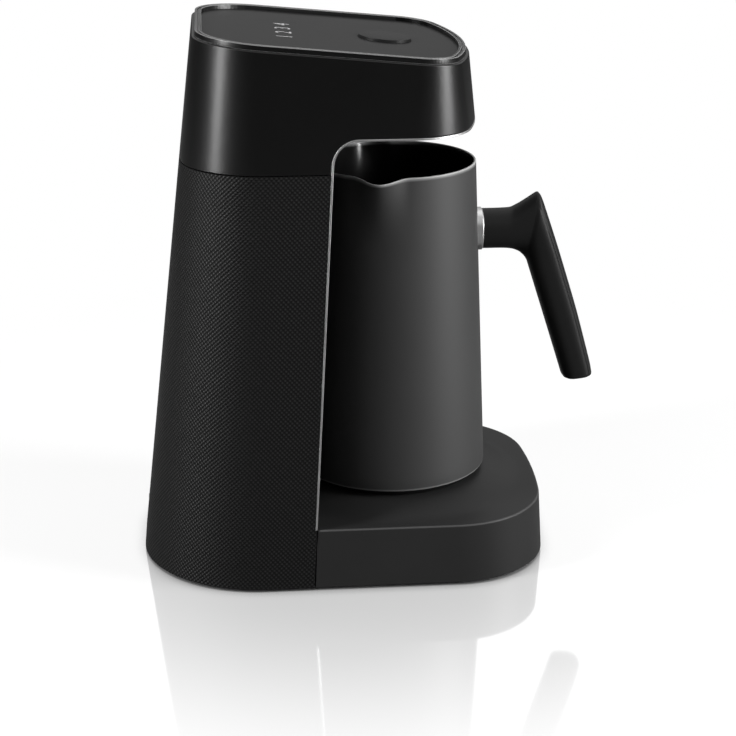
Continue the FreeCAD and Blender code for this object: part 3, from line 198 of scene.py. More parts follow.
# %% [markdown]
# Almost everything on this machine is moulded plastic. The mouldings differ in their colour,
# in how sharp their reflections are and in how coarse their skin is, so one recipe makes
# them all. A fine noise is the skin, and a broad one is the slow change of gloss and tone
# that real mouldings have. Where a mesh stores "edge", a painted highlight makes the tone
# brighter, as on a rounded edge that catches the light.

# %% The moulded finish
PAINTED_EDGE_HIGHLIGHT = 3.0
DRIFT_SCALE = 22.0
DRIFT_SPREAD = 0.12


def shaded(colour, share):
    return (*(channel * share for channel in colour[:3]), 1.0)


def moulded(name, colour, roughness, grain=30 * MICRON, grain_scale=1800, **plain):
    """The broad noise takes the colour from 1 - spread to 1 + spread times its mean.

    It moves the roughness half as far, and the fine noise times grain is the bump's height.
    """
    material, tree = new_material(name)
    drift = noise(tree, DRIFT_SCALE)
    skin = noise(tree, grain_scale, 1.0)
    tone = mix_colour(tree, drift, shaded(colour, 1 - DRIFT_SPREAD), shaded(colour, 1 + DRIFT_SPREAD))
    # A painted highlight: where a mesh stores "edge", the colour is raised three times, to white at
    # most.
    edge_highlight = grey(min(1.0, colour[0] * PAINTED_EDGE_HIGHLIGHT))
    tone = mix_colour(tree, stored(tree, "edge"), tone, edge_highlight)
    gloss = roughness * (1 - DRIFT_SPREAD / 2) + drift * (roughness * DRIFT_SPREAD)
    finish_material(tree, tone, gloss, bump(tree, skin, grain), **plain)
    return material


# %% [markdown]
# The column's skin is moulded with a very fine diamond pattern, like knurling. Thousands of
# real hills would be heavy, and they are a fifth of a millimetre high, so a bump does as
# well. Two cosine waves crossed at right angles give hills in the same staggered order.
# They run on the piece's own UV map, whose U is the way round the column in metres and
# whose V is the height, so the rows follow the surface round its corners. The tops are
# painted brighter and the valleys darker: a painted highlight on each hill and painted
# shade between them.

# %% The column's diamond texture
DIAMOND_PITCH = 2.1 * MM
DIAMOND_HEIGHT = 0.22 * MM
TOPS_FROM, TOPS_FULL = 0.48, 0.8
# The valley and top tones are painted shade and painted highlight; the dust tone is random specks.
VALLEY_SHADE, TOP_HIGHLIGHT, DUST_TONE = 0.0001, 0.012, 0.003
DUST_SHARE = 0.08


def diamond_texture(name):
    """Height is a half plus half the product of the cosines of U and V, one turn a pitch."""
    material, tree = new_material(name)
    along = node(tree, "ShaderNodeUVMap", {"uv_map": "around"})[0]
    u, v, _ = node(tree, "ShaderNodeSeparateXYZ", None, {0: along})
    turn = 2 * math.pi / DIAMOND_PITCH
    hills = (u * turn).cosine() * (v * turn).cosine() * 0.5 + 0.5
    tops = hills.ease(TOPS_FROM, TOPS_FULL)
    dust = noise(tree, 30.0) * DUST_SHARE
    # Painted highlight on the hill tops and painted shade in the valleys.
    shaded_hills = mix_colour(tree, tops, grey(VALLEY_SHADE), grey(TOP_HIGHLIGHT))
    tone = mix_colour(tree, dust, shaded_hills, grey(DUST_TONE))
    finish_material(tree, tone, 0.55 - tops * 0.15, bump(tree, hills, DIAMOND_HEIGHT), specular=0.13)
    return material


# %% [markdown]
# The trim, the screws and the heater's parts are bare metal, drawn or brushed in one
# direction. An anisotropic shader could show that, but it is lost in an export. A noise
# that a Mapping node stretches gives the streaks instead, and they move the roughness a
# good deal and the colour only a little.

# %% Brushed metal
DRAWN_UPRIGHT = (900, 900, 25)
EVEN_GRAIN = (300, 300, 300)
STREAK_ROUGHER = 0.12
STREAK_DEEP = 10 * MICRON


def brushed(name, level, roughness, stretch=DRAWN_UPRIGHT):
    """Roughness is its least value plus the streaks, which are a noise squeezed on two axes."""
    material, tree = new_material(name)
    place = node(tree, "ShaderNodeTexCoord")[OBJECT_PLACE]
    drawn = node(tree, "ShaderNodeMapping", None, {"Vector": place, "Scale": stretch})[0]
    inputs = {"Vector": drawn, "Scale": 1.0, "Detail": 3.0}
    streaks = node(tree, "ShaderNodeTexNoise", None, inputs)[0]
    tone = mix_colour(tree, streaks, grey(level * 0.9), grey(level * 1.08))
    gloss = roughness + streaks * STREAK_ROUGHER
    finish_material(tree, tone, gloss, bump(tree, streaks, STREAK_DEEP), metallic=1.0)
    return material


# %% [markdown]
# The pot is coated steel. The coat is matt outside and smoother inside, where its colour is
# darker: the dark coat with painted shade of the hollow on top. Along the rim and the lower
# edge a light line is painted as a highlight. Two materials with a border between faces would
# give a stepped line, so three numbers stored on the pot's mesh say where these places are,
# and one material fades from the one to the other.

# %% The pot's coat
# The inside tone is the dark coat with painted shade on top; the light tone and its two shares paint
# highlight lines along the rim and the lower edge.
COAT_DARK, COAT_LIGHT, COAT_INSIDE_SHADED, HIGHLIGHT_LINE_TONE = 0.018, 0.022, 0.0018, 0.34
RIM_HIGHLIGHT, FOOT_HIGHLIGHT = 0.8, 0.42


def pot_finish(name):
    """Coat, then painted shade inside, then painted highlight lines, each mixed over the last by its
    stored number.
    """
    material, tree = new_material(name)
    drift = noise(tree, 24.0)
    skin = noise(tree, 2400.0, 1.0)
    inside = stored(tree, "inside")
    # Painted highlight lines along the rim and the lower edge.
    highlight_lines = stored(tree, "rim") * RIM_HIGHLIGHT + stored(tree, "foot") * FOOT_HIGHLIGHT
    outside = mix_colour(tree, drift, grey(COAT_DARK), grey(COAT_LIGHT))
    coat = mix_colour(tree, inside, outside, grey(COAT_INSIDE_SHADED))
    tone = mix_colour(tree, highlight_lines, coat, grey(HIGHLIGHT_LINE_TONE))
    gloss = 0.56 - inside * 0.30 + drift * 0.05 - highlight_lines * 0.2
    finish_material(tree, tone, gloss, bump(tree, skin, 20 * MICRON), specular=0.3)
    return material


# %% [markdown]
# The record gives each node a material slot, so a table by slot is all that is needed: the
# recipe and its numbers. The black plastics have a low specular level, because their fine
# grain scatters most of what they would mirror. Every node is painted, also the ones
# inside, which show only when the part is taken apart.

# %% Materials by the record's slots
RECIPES = {
    "textured_black": (diamond_texture, {}),
    "satin_black": (moulded, dict(colour=grey(0.0008), roughness=0.33, grain=6 * MICRON,
                                  grain_scale=1400, specular=0.28)),
    "housing_grey": (moulded, dict(colour=grey(0.0145), roughness=0.46, grain=10 * MICRON,
                                   grain_scale=1600, specular=0.10)),
    "bright_trim": (brushed, dict(level=0.42, roughness=0.32)),
    "panel_grey": (moulded, dict(colour=grey(0.010), roughness=0.42, grain=10 * MICRON, specular=0.07)),
    "pot_coat": (pot_finish, {}),
    "steel": (brushed, dict(level=0.55, roughness=0.30)),
    "handle_black": (moulded, dict(colour=grey(0.0078), roughness=0.48, grain=20 * MICRON,
                                   grain_scale=1900, specular=0.1)),
    "rubber_black": (moulded, dict(colour=grey(0.018), roughness=0.8, grain=40 * MICRON,
                                   grain_scale=900)),
    "board_green": (moulded, dict(colour=(0.02, 0.12, 0.05, 1.0), roughness=0.4)),
    "part_grey": (moulded, dict(colour=grey(0.16), roughness=0.5)),
    "contact_brass": (moulded, dict(colour=(0.72, 0.50, 0.20, 1.0), roughness=0.28, grain=10 * MICRON,
                                    grain_scale=900, metallic=1.0)),
    "clear_plastic": (moulded, dict(colour=(0.80, 0.85, 0.88, 1.0), roughness=0.12, grain=4 * MICRON,
                                    grain_scale=600, transmission=0.85)),
    # Its pale grey also goes on the top rim's rounded faces, as a painted highlight line.
    "edge_line": (moulded, dict(colour=grey(0.13), roughness=0.36, grain=4 * MICRON, grain_scale=1400)),
    "heater_aluminium": (brushed, dict(level=0.62, roughness=0.35, stretch=EVEN_GRAIN)),
}
MATERIALS = {slot: recipe(slot, **numbers) for slot, (recipe, numbers) in RECIPES.items()}
SLOT_OF = {row["node"]: row["material_slot"] for row in frame["record"]["subparts"]}


def paint(piece, slot):
    piece.data.materials.clear()
    piece.data.materials.append(MATERIALS[slot])


for name, part in frame["nodes"].items():
    paint(part, SLOT_OF[name])
print("painted", len(frame["nodes"]), "nodes with", len(MATERIALS), "finishes")

# %% [markdown]
# A CAD node comes as loose triangles, which shade flat, and its own mesh is left alone. A
# copy of it is merged first: the Weld modifier joins the doubles, and its result is put
# into the mesh, so that the next step sees one surface. Smooth shading then needs a limit,
# past which two faces still meet in a sharp edge.

# %% Merge and shade
WELD = 0.002 * MM
SMOOTH_BELOW = math.radians(28)


def apply_modifiers(piece):
    """Put the result of a piece's modifiers into its mesh."""
    graph = bpy.context.evaluated_depsgraph_get()
    graph.update()
    finished = bpy.data.meshes.new_from_object(piece.evaluated_get(graph))
    piece.modifiers.clear()
    piece.data = finished


def merged(name, mesh):
    """A new object whose points that lie within WELD of each other are one."""
    piece = bpy.data.objects.new(name, mesh)
    bpy.context.collection.objects.link(piece)
    weld = piece.modifiers.new("weld", "WELD")
    weld.merge_threshold = WELD
    apply_modifiers(piece)
    return piece


def shade_by_angle(mesh):
    """Smooth faces, with a sharp edge wherever two of them meet at more than the limit."""
    mesh.shade_smooth()
    mesh.set_sharp_from_angle(angle=SMOOTH_BELOW)


def points_of(mesh):
    places = np.empty(len(mesh.vertices) * 3)
    mesh.vertices.foreach_get("co", places)
    return places.reshape(-1, 3)


# %% [markdown]
# Ten covers have the right form in the CAD model already: the head, the trim, the niche,
# the top's rim and panel, the button and the small covers below. Modelling them again would
# only risk their fit. Each gets its smooth shading and the small round that every moulding
# has, because that round is what catches the light along an edge. The Bevel modifier finds
# the edges by their angle. The top's rim gets a painted highlight there, a pale material on
# its rounded faces, and the flat panel and plate keep flat shading, which shows no false
# roundness.

# %% Dress a cover of the right form
BODY_OF = {
    name: body
    for body, names in frame["record"]["behaviour"]["bodies"].items()
    for name in names
}
EDGE_ROUNDS = {
    "head_cover": 0.5 * MM,
    "cutout_trim": 0.2 * MM,
    "niche_liner": 0,
    "head_underside": 0,
    "top_rim": 0.28 * MM,
    "control_panel": 0,
    "button_cap": 0.35 * MM,
    "base_plate": 0,
    "cord_gland": 0.4 * MM,
    "pot_bottom_cover": 0,
}
FLAT = ("control_panel", "base_plate")
PAINTED_HIGHLIGHT_RIMS = ("top_rim",)
ROUND_ABOVE = math.radians(40)
ROUND_STEPS = 2


def adopt(piece, name):
    """The piece stands for the node, on the node's body."""
    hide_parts(name)
    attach(piece, BODY_OF[name])


def round_edges(piece, width):
    edge = piece.modifiers.new("edge", "BEVEL")
    edge.width = width
    edge.segments = ROUND_STEPS
    edge.limit_method = "ANGLE"
    edge.angle_limit = ROUND_ABOVE
    edge.harden_normals = True
    edge.use_clamp_overlap = True
    return edge


def dress(name, width):
    """The node's own surface, merged, shaded, rounded by width and painted."""
    source = frame["nodes"][name]
    mesh = source.data.copy()
    mesh.transform(source.matrix_world)
    piece = merged(name + "_skin", mesh)
    paint(piece, SLOT_OF[name])
    if name in FLAT:
        piece.data.shade_flat()
    else:
        shade_by_angle(piece.data)
    if width:
        edge = round_edges(piece, width)
        if name in PAINTED_HIGHLIGHT_RIMS:
            # A painted highlight: the rim's rounded faces take a pale material.
            piece.data.materials.append(MATERIALS["edge_line"])
            edge.material = 1
    adopt(piece, name)
    return piece


for name, width in EDGE_ROUNDS.items():
    dress(name, width)
print("dressed", len(EDGE_ROUNDS), "covers")

# %% [markdown]
# The column's skin keeps its CAD form too, and gets the UV map that the diamond texture
# needs. An automatic unwrap would cut the skin into islands and break the rows. The plan
# is simple instead: straight sides, round back corners and a flat back. Its width and
# radius shrink evenly with height, so U is worked out on the plan at each point's own
# height.

# %% The column's skin and its way round
COLUMN_TALL = 0.250
BACK = (0.1080, 0.0779)
SIDE = (0.0683, 0.0580)
BACK_CORNER = (0.0565, 0.0304)


def tapered(pair, height):
    """A size that changes evenly from the table to the top."""
    return pair[0] + (pair[1] - pair[0]) * height / COLUMN_TALL


def way_round(places):
    """Distance along the plan from the middle of the back, negative on the near side.

    On the back it is the distance sideways. A corner adds its radius times the angle that
    has been turned, and the side adds the distance forward from the corner's centre.
    """
    x, y, z = places.T
    radius = tapered(BACK_CORNER, z)
    flat = tapered(SIDE, z) - radius
    corner_x = radius - tapered(BACK, z)
    side = np.abs(y)
    angle = np.clip(np.arctan2(side - flat, corner_x - x), 0, np.pi / 2)
    on_corner = flat + radius * angle
    on_side = flat + radius * np.pi / 2 + (x - corner_x)
    distance = np.where(side < flat, side, np.where(x > corner_x, on_side, on_corner))
    return np.sign(y) * distance


def add_around_map(mesh):
    """U is the way round and V the height, both in metres, at every corner of every face."""
    places = points_of(mesh)
    corner_of = np.empty(len(mesh.loops), dtype=np.int32)
    mesh.loops.foreach_get("vertex_index", corner_of)
    uv = np.stack([way_round(places), places[:, 2]], axis=1)[corner_of]
    layer = mesh.uv_layers.new(name="around")
    layer.data.foreach_set("uv", uv.astype(np.float32).ravel())
    print("way round column", round(float(np.ptp(uv[:, 0])) * 1000), "mm")


column_skin = dress("column_cover", 0)
add_around_map(column_skin.data)

# %% [markdown]
# The pot, the platform and the handle need softer forms than the CAD model has, so they are
# new surfaces. Each is a grid: every row is one step along a profile, and every column is
# one step round. Whole arrays of X, Y and Z go into the mesh at once, which is far quicker
# than adding points one by one. Rows that close on a point are merged afterwards, so that
# no hole or double is left, and the faces are turned outwards.

# %% Put a grid of points into a mesh
def face_outwards(mesh):
    """A closed mesh holds a sixth of the sum of a . (b x c) over its triangles.

    Where that volume is negative, the faces look inwards and are turned.
    """
    mesh.calc_loop_triangles()
    corners = np.empty(len(mesh.loop_triangles) * 3, dtype=np.int32)
    mesh.loop_triangles.foreach_get("vertices", corners)
    a, b, c = points_of(mesh)[corners.reshape(-1, 3)].transpose(1, 0, 2)
    if np.einsum("ij,ij->", a, np.cross(b, c)) < 0:
        mesh.flip_normals()


def grid_piece(name, x, y, z, loop_rows=False):
    """Point (i, j) of the grid is a corner of the face that reaches to (i + 1, j + 1).

    The last column joins the first, and with loop_rows the last row does too.
    """
    rows, columns = x.shape
    index = np.arange(rows * columns).reshape(rows, columns)
    if loop_rows:
        index = np.vstack([index, index[:1]])
    index = np.hstack([index, index[:, :1]])
    faces = np.stack([index[:-1, :-1], index[:-1, 1:], index[1:, 1:], index[1:, :-1]], axis=-1)
    points = np.stack([x, y, z], axis=-1).reshape(-1, 3)
    mesh = bpy.data.meshes.new(name)
    mesh.from_pydata(points.tolist(), [], faces.reshape(-1, 4).tolist())
    piece = merged(name, mesh)
    face_outwards(piece.data)
    shade_by_angle(piece.data)
    print(name, len(piece.data.polygons), "faces")
    return piece


def add_number(piece, name, numbers):
    """Store one number at each point, for a material to read by its name."""
    layer = piece.data.attributes.new(name, "FLOAT", "POINT")
    layer.data.foreach_set("value", np.asarray(numbers, dtype=np.float32))


# %% [markdown]
# The pot is a drawn steel vessel, and its section is the same all round, apart from the
# spouts. So one profile is turned about the pot's axis: from the middle of the floor's
# underside out, down the skirt, round the lower edge, up the wall, over the rim and back
# down inside to the floor. Rows lie closer together in the upper part, where the spouts
# bend the wall.

# %% The pot's profile
POT_X = 11.3 * MM
POT_LOW, POT_HIGH = 37.2 * MM, 184.8 * MM
POT_RADIUS_LOW, POT_RADIUS_HIGH = 45.1 * MM, 39.0 * MM
POT_WALL = 1.2 * MM
FLOOR_UNDER, FLOOR_TOP = 58.0 * MM, 60.0 * MM
LOWER_ROUND = 1.7 * MM
FLOOR_ROUND = 5.0 * MM
DENSE_ABOVE = 140 * MM


def wall_radius(height):
    """The outside radius, which shrinks evenly from the lower edge to the rim."""
    share = (POT_HIGH - height) / (POT_HIGH - POT_LOW)
    return POT_RADIUS_HIGH + (POT_RADIUS_LOW - POT_RADIUS_HIGH) * share


def arc(centre_r, centre_z, radius, start, end, count):
    """Points on a circle, from one angle to another in degrees."""
    angle = np.radians(np.linspace(start, end, count))
    return np.stack([centre_r + radius * np.cos(angle), centre_z + radius * np.sin(angle)], axis=1)


def line(r0, z0, r1, z1, count):
    """Points from one place towards another, without the last."""
    share = np.linspace(0, 1, count, endpoint=False)[:, None]
    return np.array([[r0, z0]]) + share * np.array([[r1 - r0, z1 - z0]])


def pot_profile():
    """Radius and height along the section: lines between the arcs of the two edges and the floor."""
    skirt = wall_radius(FLOOR_UNDER) - POT_WALL
    foot = wall_radius(POT_LOW)
    rim_low = POT_HIGH - POT_WALL / 2
    rim_out = wall_radius(POT_HIGH)
    rim_in = rim_out - POT_WALL
    dense_out = wall_radius(DENSE_ABOVE)
    dense_in = dense_out - POT_WALL
    floor_out = wall_radius(FLOOR_TOP) - POT_WALL
    floor_in = floor_out - FLOOR_ROUND
    corner_z = FLOOR_TOP + FLOOR_ROUND
    return np.vstack([
        line(0, FLOOR_UNDER, skirt, FLOOR_UNDER, 6),
        line(skirt, FLOOR_UNDER, foot - POT_WALL - LOWER_ROUND / 2, POT_LOW, 6),
        arc(foot - LOWER_ROUND, POT_LOW + LOWER_ROUND, LOWER_ROUND, -90, 0, 9),
        line(foot, POT_LOW + 1.2 * LOWER_ROUND, dense_out, DENSE_ABOVE, 24)[1:],
        line(dense_out, DENSE_ABOVE, rim_out, rim_low, 40),
        arc(rim_out - POT_WALL / 2, rim_low, POT_WALL / 2, 0, 180, 9),
        line(rim_in, POT_HIGH - POT_WALL, dense_in, DENSE_ABOVE, 40)[1:],
        line(dense_in, DENSE_ABOVE, floor_out, corner_z, 14),
        arc(floor_in, corner_z, FLOOR_ROUND, 0, -90, 8),
        line(floor_in, FLOOR_TOP, 0, FLOOR_TOP, 6)[1:],
        np.array([[0, FLOOR_TOP]]),
    ])


# %% [markdown]
# Two spouts are pressed out of the wall, one to each side. Sculpting or a lattice could
# pull them out, but a formula keeps both alike and the wall evenly thick. The push is
# largest in the middle of the span and at the rim. It fades to the sides as a rounded V,
# and downwards as a power of the height, and the rim dips where it is pushed.

# %% The spouts
SPOUT_ANGLE = math.radians(103)
SPOUT_HALF_SPAN = math.radians(20)
SPOUT_TALL = 33 * MM
SPOUT_OUT, OUT_FADE = 5.8 * MM, 1.9
SPOUT_DIP, DIP_FADE = 1.6 * MM, 3
TIP_ROUND = 0.16
TIP_POINTED = 0.25


def spout_share(angle, centre):
    """1 in the middle of one spout's span and 0 at its sides.

    It is a mix of half a cosine wave and a V whose tip is rounded like a hyperbola.
    """
    away = np.abs((angle - centre + np.pi) % (2 * np.pi) - np.pi) / SPOUT_HALF_SPAN
    away = np.clip(away, 0, 1)
    soft = 0.5 + 0.5 * np.cos(np.pi * away)
    side = math.sqrt(1 + TIP_ROUND ** 2)
    pointed = (side - np.sqrt(away ** 2 + TIP_ROUND ** 2)) / (side - TIP_ROUND)
    return TIP_POINTED * pointed * soft + (1 - TIP_POINTED) * soft


def both_spouts(angle):
    return spout_share(angle, SPOUT_ANGLE) + spout_share(angle, -SPOUT_ANGLE)


def spout_rise(height):
    """0 where a spout starts on the wall, 1 at the rim."""
    return np.clip((height - POT_HIGH + SPOUT_TALL) / SPOUT_TALL, 0, 1)


# %% The pot's wall
POT_COLUMNS = 512


def pot_wall():
    """The profile turned about the pot's axis.

    The spouts add to the radius their reach times rise to the power OUT_FADE, and take from
    the height their dip times rise to the power DIP_FADE, both times the share round.
    """
    profile = pot_profile()
    angle = np.linspace(0, 2 * np.pi, POT_COLUMNS, endpoint=False)
    radius, height = profile[:, :1], profile[:, 1:]
    spouts = both_spouts(angle) * (radius > POT_RADIUS_HIGH / 2)
    rise = spout_rise(height)
    radius = radius + SPOUT_OUT * rise ** OUT_FADE * spouts
    height = height - SPOUT_DIP * rise ** DIP_FADE * spouts
    return grid_piece("pot_wall", POT_X + radius * np.cos(angle), radius * np.sin(angle), height)


# %% [markdown]
# The coat's material reads three numbers. Each is worked out from a point's own place: how
# close it is to the rim, how close it is to the lower edge, and whether it lies inside the
# middle of the wall. The first two place the painted highlight lines, the third the painted
# shade inside. A steep ramp instead of a step keeps the two painted highlight lines smooth.

# %% Where the pot's painted highlight lines lie, and where the painted shade inside begins
RIM_WIDE, RIM_FADE = 0.75 * MM, 0.3 * MM
FOOT_WIDE, FOOT_FADE = 1.5 * MM, 0.4 * MM


def mark_pot(piece):
    """Each mark is the distance past its border over the width of its fade, held to 0 to 1."""
    x, y, z = points_of(piece.data).T
    spouts = both_spouts(np.arctan2(y, x - POT_X))
    radius = np.hypot(x - POT_X, y)
    middle = wall_radius(z) - POT_WALL / 2 + SPOUT_OUT * spout_rise(z) ** OUT_FADE * spouts
    above_line = z - (POT_HIGH - SPOUT_DIP * spouts - RIM_WIDE)
    below_line = POT_LOW + FOOT_WIDE - z
    add_number(piece, "rim", np.clip(above_line / RIM_FADE, 0, 1))
    add_number(piece, "foot", np.clip(below_line / FOOT_FADE, 0, 1) * (radius > middle))
    add_number(piece, "inside", (radius < middle) & (z > FLOOR_UNDER + 1 * MM))


pot = pot_wall()
mark_pot(pot)
paint(pot, "pot_coat")
adopt(pot, "pot_body")

# %% [markdown]
# The platform is a low moulding with straight sides, round front corners and a slightly
# bowed front. Behind, it ends at the column's front and at the round niche. It is seen from
# the pot's axis, so its outline is wanted as a distance for every angle. Solving each
# line and arc for that would take many cases. Halving a step between inside and outside,
# for all angles at once, needs only a test of whether a place is inside.

# %% The platform's outline
EDGE_HIGH = 29.5 * MM
FLOOR_GAP = 1.5 * MM
PLATFORM_CORNER = 44.5 * MM
PLATFORM_FRONT = (82.7 * MM, 81.0 * MM)
PLATFORM_BOW = 300 * MM
CUTOUT_EDGE, CUTOUT_SLOPE = -29.7 * MM, 0.0546
SEAM = 0.15 * MM
NICHE = 49.2 * MM
SEARCH_STEPS = 40
SEARCH_REACH = 0.2
AHEAD = -1e-3
NO_LIMIT = 1.0


def outline_reach(angle, height, inset):
    """Distance from the pot's axis to the outline, found by halving the step along each ray.

    A place is inside when it is between the sides, and within the corner's circle where it
    lies beyond the corner's centre, or within the bow's circle elsewhere.
    """
    half = tapered(SIDE, height) - inset
    front = PLATFORM_FRONT[0] + (PLATFORM_FRONT[1] - PLATFORM_FRONT[0]) * height / EDGE_HIGH - inset
    corner = PLATFORM_CORNER - inset
    bow = PLATFORM_BOW - inset
    bow_x = front - bow
    corner_y = half - corner
    corner_x = bow_x + np.sqrt((bow - corner) ** 2 - corner_y ** 2)
    near = np.zeros_like(angle)
    far = np.full_like(angle, SEARCH_REACH)
    for _ in range(SEARCH_STEPS):
        middle = (near + far) / 2
        x = POT_X + middle * np.cos(angle)
        y = np.abs(middle * np.sin(angle))
        past_corner = y > corner_y + (x - corner_x) * corner_y / (corner_x - bow_x)
        in_round = np.hypot(x - corner_x, y - corner_y) < corner
        in_bow = (np.hypot(x - bow_x, y) < bow) | (x < corner_x)
        inside = (y < half) & np.where((x > corner_x) & past_corner, in_round, in_bow)
        near = np.where(inside, middle, near)
        far = np.where(inside, far, middle)
    return near


def platform_reach(angle, height, inset=0.0):
    """The outline in front, and the farther of the column's front and the niche behind."""
    edge_x = CUTOUT_EDGE + CUTOUT_SLOPE * height + SEAM - POT_X
    away = np.cos(angle)
    back = np.where(away < AHEAD, edge_x / np.minimum(away, AHEAD), NO_LIMIT)
    return np.minimum(outline_reach(angle, height, inset), np.maximum(back, NICHE))


# %% [markdown]
# The platform's top rises softly to the round seat under the pot. Rows of the grid go from
# the connector's hole over the seat, down the slope to the edge, over a small bevel, down
# the side and back up inside, so the shell is closed. The bevel is part of the grid and not
# a modifier, because its faces are marked as an edge and get a painted highlight.

# %% The platform's surface
PLATFORM_COLUMNS = 720
HOLE_RADIUS = 14.8 * MM
HOLE_DEEP = 2 * MM
HOLE_ROUND = 0.3 * MM
SEAT_RISE = 5.0 * MM
SEAT_RADIUS = 42.0 * MM
SLOPE_END = 64.0 * MM
BEVEL = 0.8 * MM
UNDER_ROUND = 0.4 * MM
SIDE_WALL = 2.4 * MM


def seat_rise(reach):
    """The full rise on the seat, none past the slope's end, and an S-shaped curve between."""
    share = np.clip((SLOPE_END - reach) / (SLOPE_END - SEAT_RADIUS), 0, 1)
    return SEAT_RISE * share * share * (3 - 2 * share)


def platform():
    """Rows of distance and height round the pot's axis, the last of which joins the first."""
    angle = np.linspace(0, 2 * np.pi, PLATFORM_COLUMNS, endpoint=False)

    def level(height):
        return np.full_like(angle, height)

    def edge(height, inset=0.0):
        return platform_reach(angle, level(height), inset)

    rows = [(level(HOLE_RADIUS), level(EDGE_HIGH - HOLE_DEEP)),
            (level(HOLE_RADIUS), level(EDGE_HIGH + SEAT_RISE))]
    start = HOLE_RADIUS + HOLE_ROUND
    for share in np.linspace(0, 1, 40):
        reach = start + (edge(EDGE_HIGH, BEVEL) - start) * share
        rows.append((reach, EDGE_HIGH + seat_rise(reach)))
    for turn in np.linspace(0, np.pi / 2, 5)[1:]:
        height = EDGE_HIGH - BEVEL * (1 - np.cos(turn))
        reach = edge(height, BEVEL * (1 - np.sin(turn)))
        rows.append((reach, height + seat_rise(reach)))
    for height in np.linspace(EDGE_HIGH - 1.5 * BEVEL, FLOOR_GAP + UNDER_ROUND, 8):
        rows.append((edge(height), level(height)))
    rows.append((edge(FLOOR_GAP, UNDER_ROUND), level(FLOOR_GAP)))
    rows.append((edge(FLOOR_GAP, SIDE_WALL), level(FLOOR_GAP)))
    rows.append((edge(EDGE_HIGH, SIDE_WALL), level(EDGE_HIGH - SIDE_WALL)))
    reach, height = (np.array(column) for column in zip(*rows))
    x = POT_X + reach * np.cos(angle)
    y = reach * np.sin(angle)
    return grid_piece("platform", x, y, height, loop_rows=True)


# %% The platform's painted edge highlight
LINE_MIDDLE = 0.3 * MM
LINE_HALF_TALL = 0.4 * MM
LINE_HALF_WIDE = 0.45 * MM
LINE_STARTS = CUTOUT_EDGE + 3 * MM


def mark_edge(piece):
    """1 on the small bevel between the top and the side, in front of the column, where a highlight is
    painted.
    """
    x, y, z = points_of(piece.data).T
    angle = np.arctan2(y, x - POT_X)
    inwards = platform_reach(angle, np.full_like(angle, EDGE_HIGH)) - np.hypot(x - POT_X, y)
    in_height = np.abs(z - EDGE_HIGH + LINE_MIDDLE) < LINE_HALF_TALL
    in_width = np.abs(inwards - LINE_MIDDLE) < LINE_HALF_WIDE
    add_number(piece, "edge", in_height & in_width & (x > LINE_STARTS))


base = platform()
mark_edge(base)
paint(base, "housing_grey")
adopt(base, "base_housing")

# %% [markdown]
# The handle is a rounded bar that follows a bend. A curve with a bevel would keep one width
# throughout, but this bar widens at the thumb rest and narrows downwards. So it is drawn by
# its two edges as seen from the side: the inner one runs under the neck, round the bend and
# down the grip, the outer one over the neck, up the thumb rest and down the outer face.
# Distances are from the pot's axis and from the table, in millimetres.

# %% The handle's two edges
INNER_EDGE = ((42.4, 141.3), (50.0, 141.3), (53.7, 141.2), (57.2, 140.7), (60.4, 139.3),
              (62.8, 137.0), (64.3, 134.6), (65.1, 132.2), (74.0, 104.6), (81.3, 81.8), (82.6, 77.6))
OUTER_EDGE = ((42.4, 160.0), (50.0, 160.0), (56.2, 160.2), (60.2, 162.3), (64.4, 165.0),
              (68.6, 167.9), (70.4, 165.6), (78.4, 142.2), (88.4, 110.9), (95.9, 83.8), (96.8, 79.2))
EDGE_STEPS = 12
EASE_ROUNDS = 10


def along_edge(corners):
    """Even steps between the given points, then each step moved to the mean of its neighbours.

    A step counts twice in its own mean. That rounds the corners and keeps the straight runs.
    """
    corners = np.array(corners)
    at = np.arange(len(corners))
    fine = np.linspace(0, len(corners) - 1, EDGE_STEPS * (len(corners) - 1) + 1)
    path = np.stack([np.interp(fine, at, corners[:, axis]) for axis in (0, 1)], axis=1)
    for _ in range(EASE_ROUNDS):
        path[1:-1] = (path[:-2] + 2 * path[1:-1] + path[2:]) / 4
    return fine, path


# %% [markdown]
# Each section of the bar is a rounded oval from the one edge to the other. A true ellipse
# looks thin at its edges, so the cosine and the sine are raised to a power below 1, which
# fills the corners, more so in the grip than in the neck. A fine groove marks the seam of
# the outer cover. The two ends close with a few shrinking copies of the last section.

# %% The handle's neck and grip
HANDLE_COLUMNS = 144
GRIP_FROM, GRIP_EASE = 5, 2
NECK_HALF, GRIP_HALF = 8.0, 9.0
NECK_SQUARE, GRIP_SQUARE = 2.25, 3.0
SEAM_SHARE, SEAM_WIDE, SEAM_DEEP = 0.84, 0.02, 0.045
END_LEANS = np.radians((18, 36, 54, 72, 90))
END_FULL = 0.7
NECK_END = (-1.0, 0.0, 0.0)
GRIP_END = (0.30, -0.954, 2.2)


def rounded_oval(turn, square):
    """The cosine and the sine, each to the power 2 over square, with their signs kept."""
    power = 2 / square
    up = np.sign(np.cos(turn)) * np.abs(np.cos(turn)) ** power
    across = np.sign(np.sin(turn)) * np.abs(np.sin(turn)) ** power
    return up, across


def close_end(x, y, z, end):
    """Copies of a section about its middle, sized by a power of the cosine of a growing lean.

    Each copy moves along the end's direction by its reach times the sine of the lean.
    """
    along_x, along_z, reach = end
    middle_x, middle_z = x.mean(), z.mean()
    copies = []
    for lean in END_LEANS:
        size = max(math.cos(lean), 0.0) ** END_FULL
        out = reach * math.sin(lean)
        copies.append((middle_x + (x - middle_x) * size + along_x * out, y * size,
                       middle_z + (z - middle_z) * size + along_z * out))
    return np.array(copies)


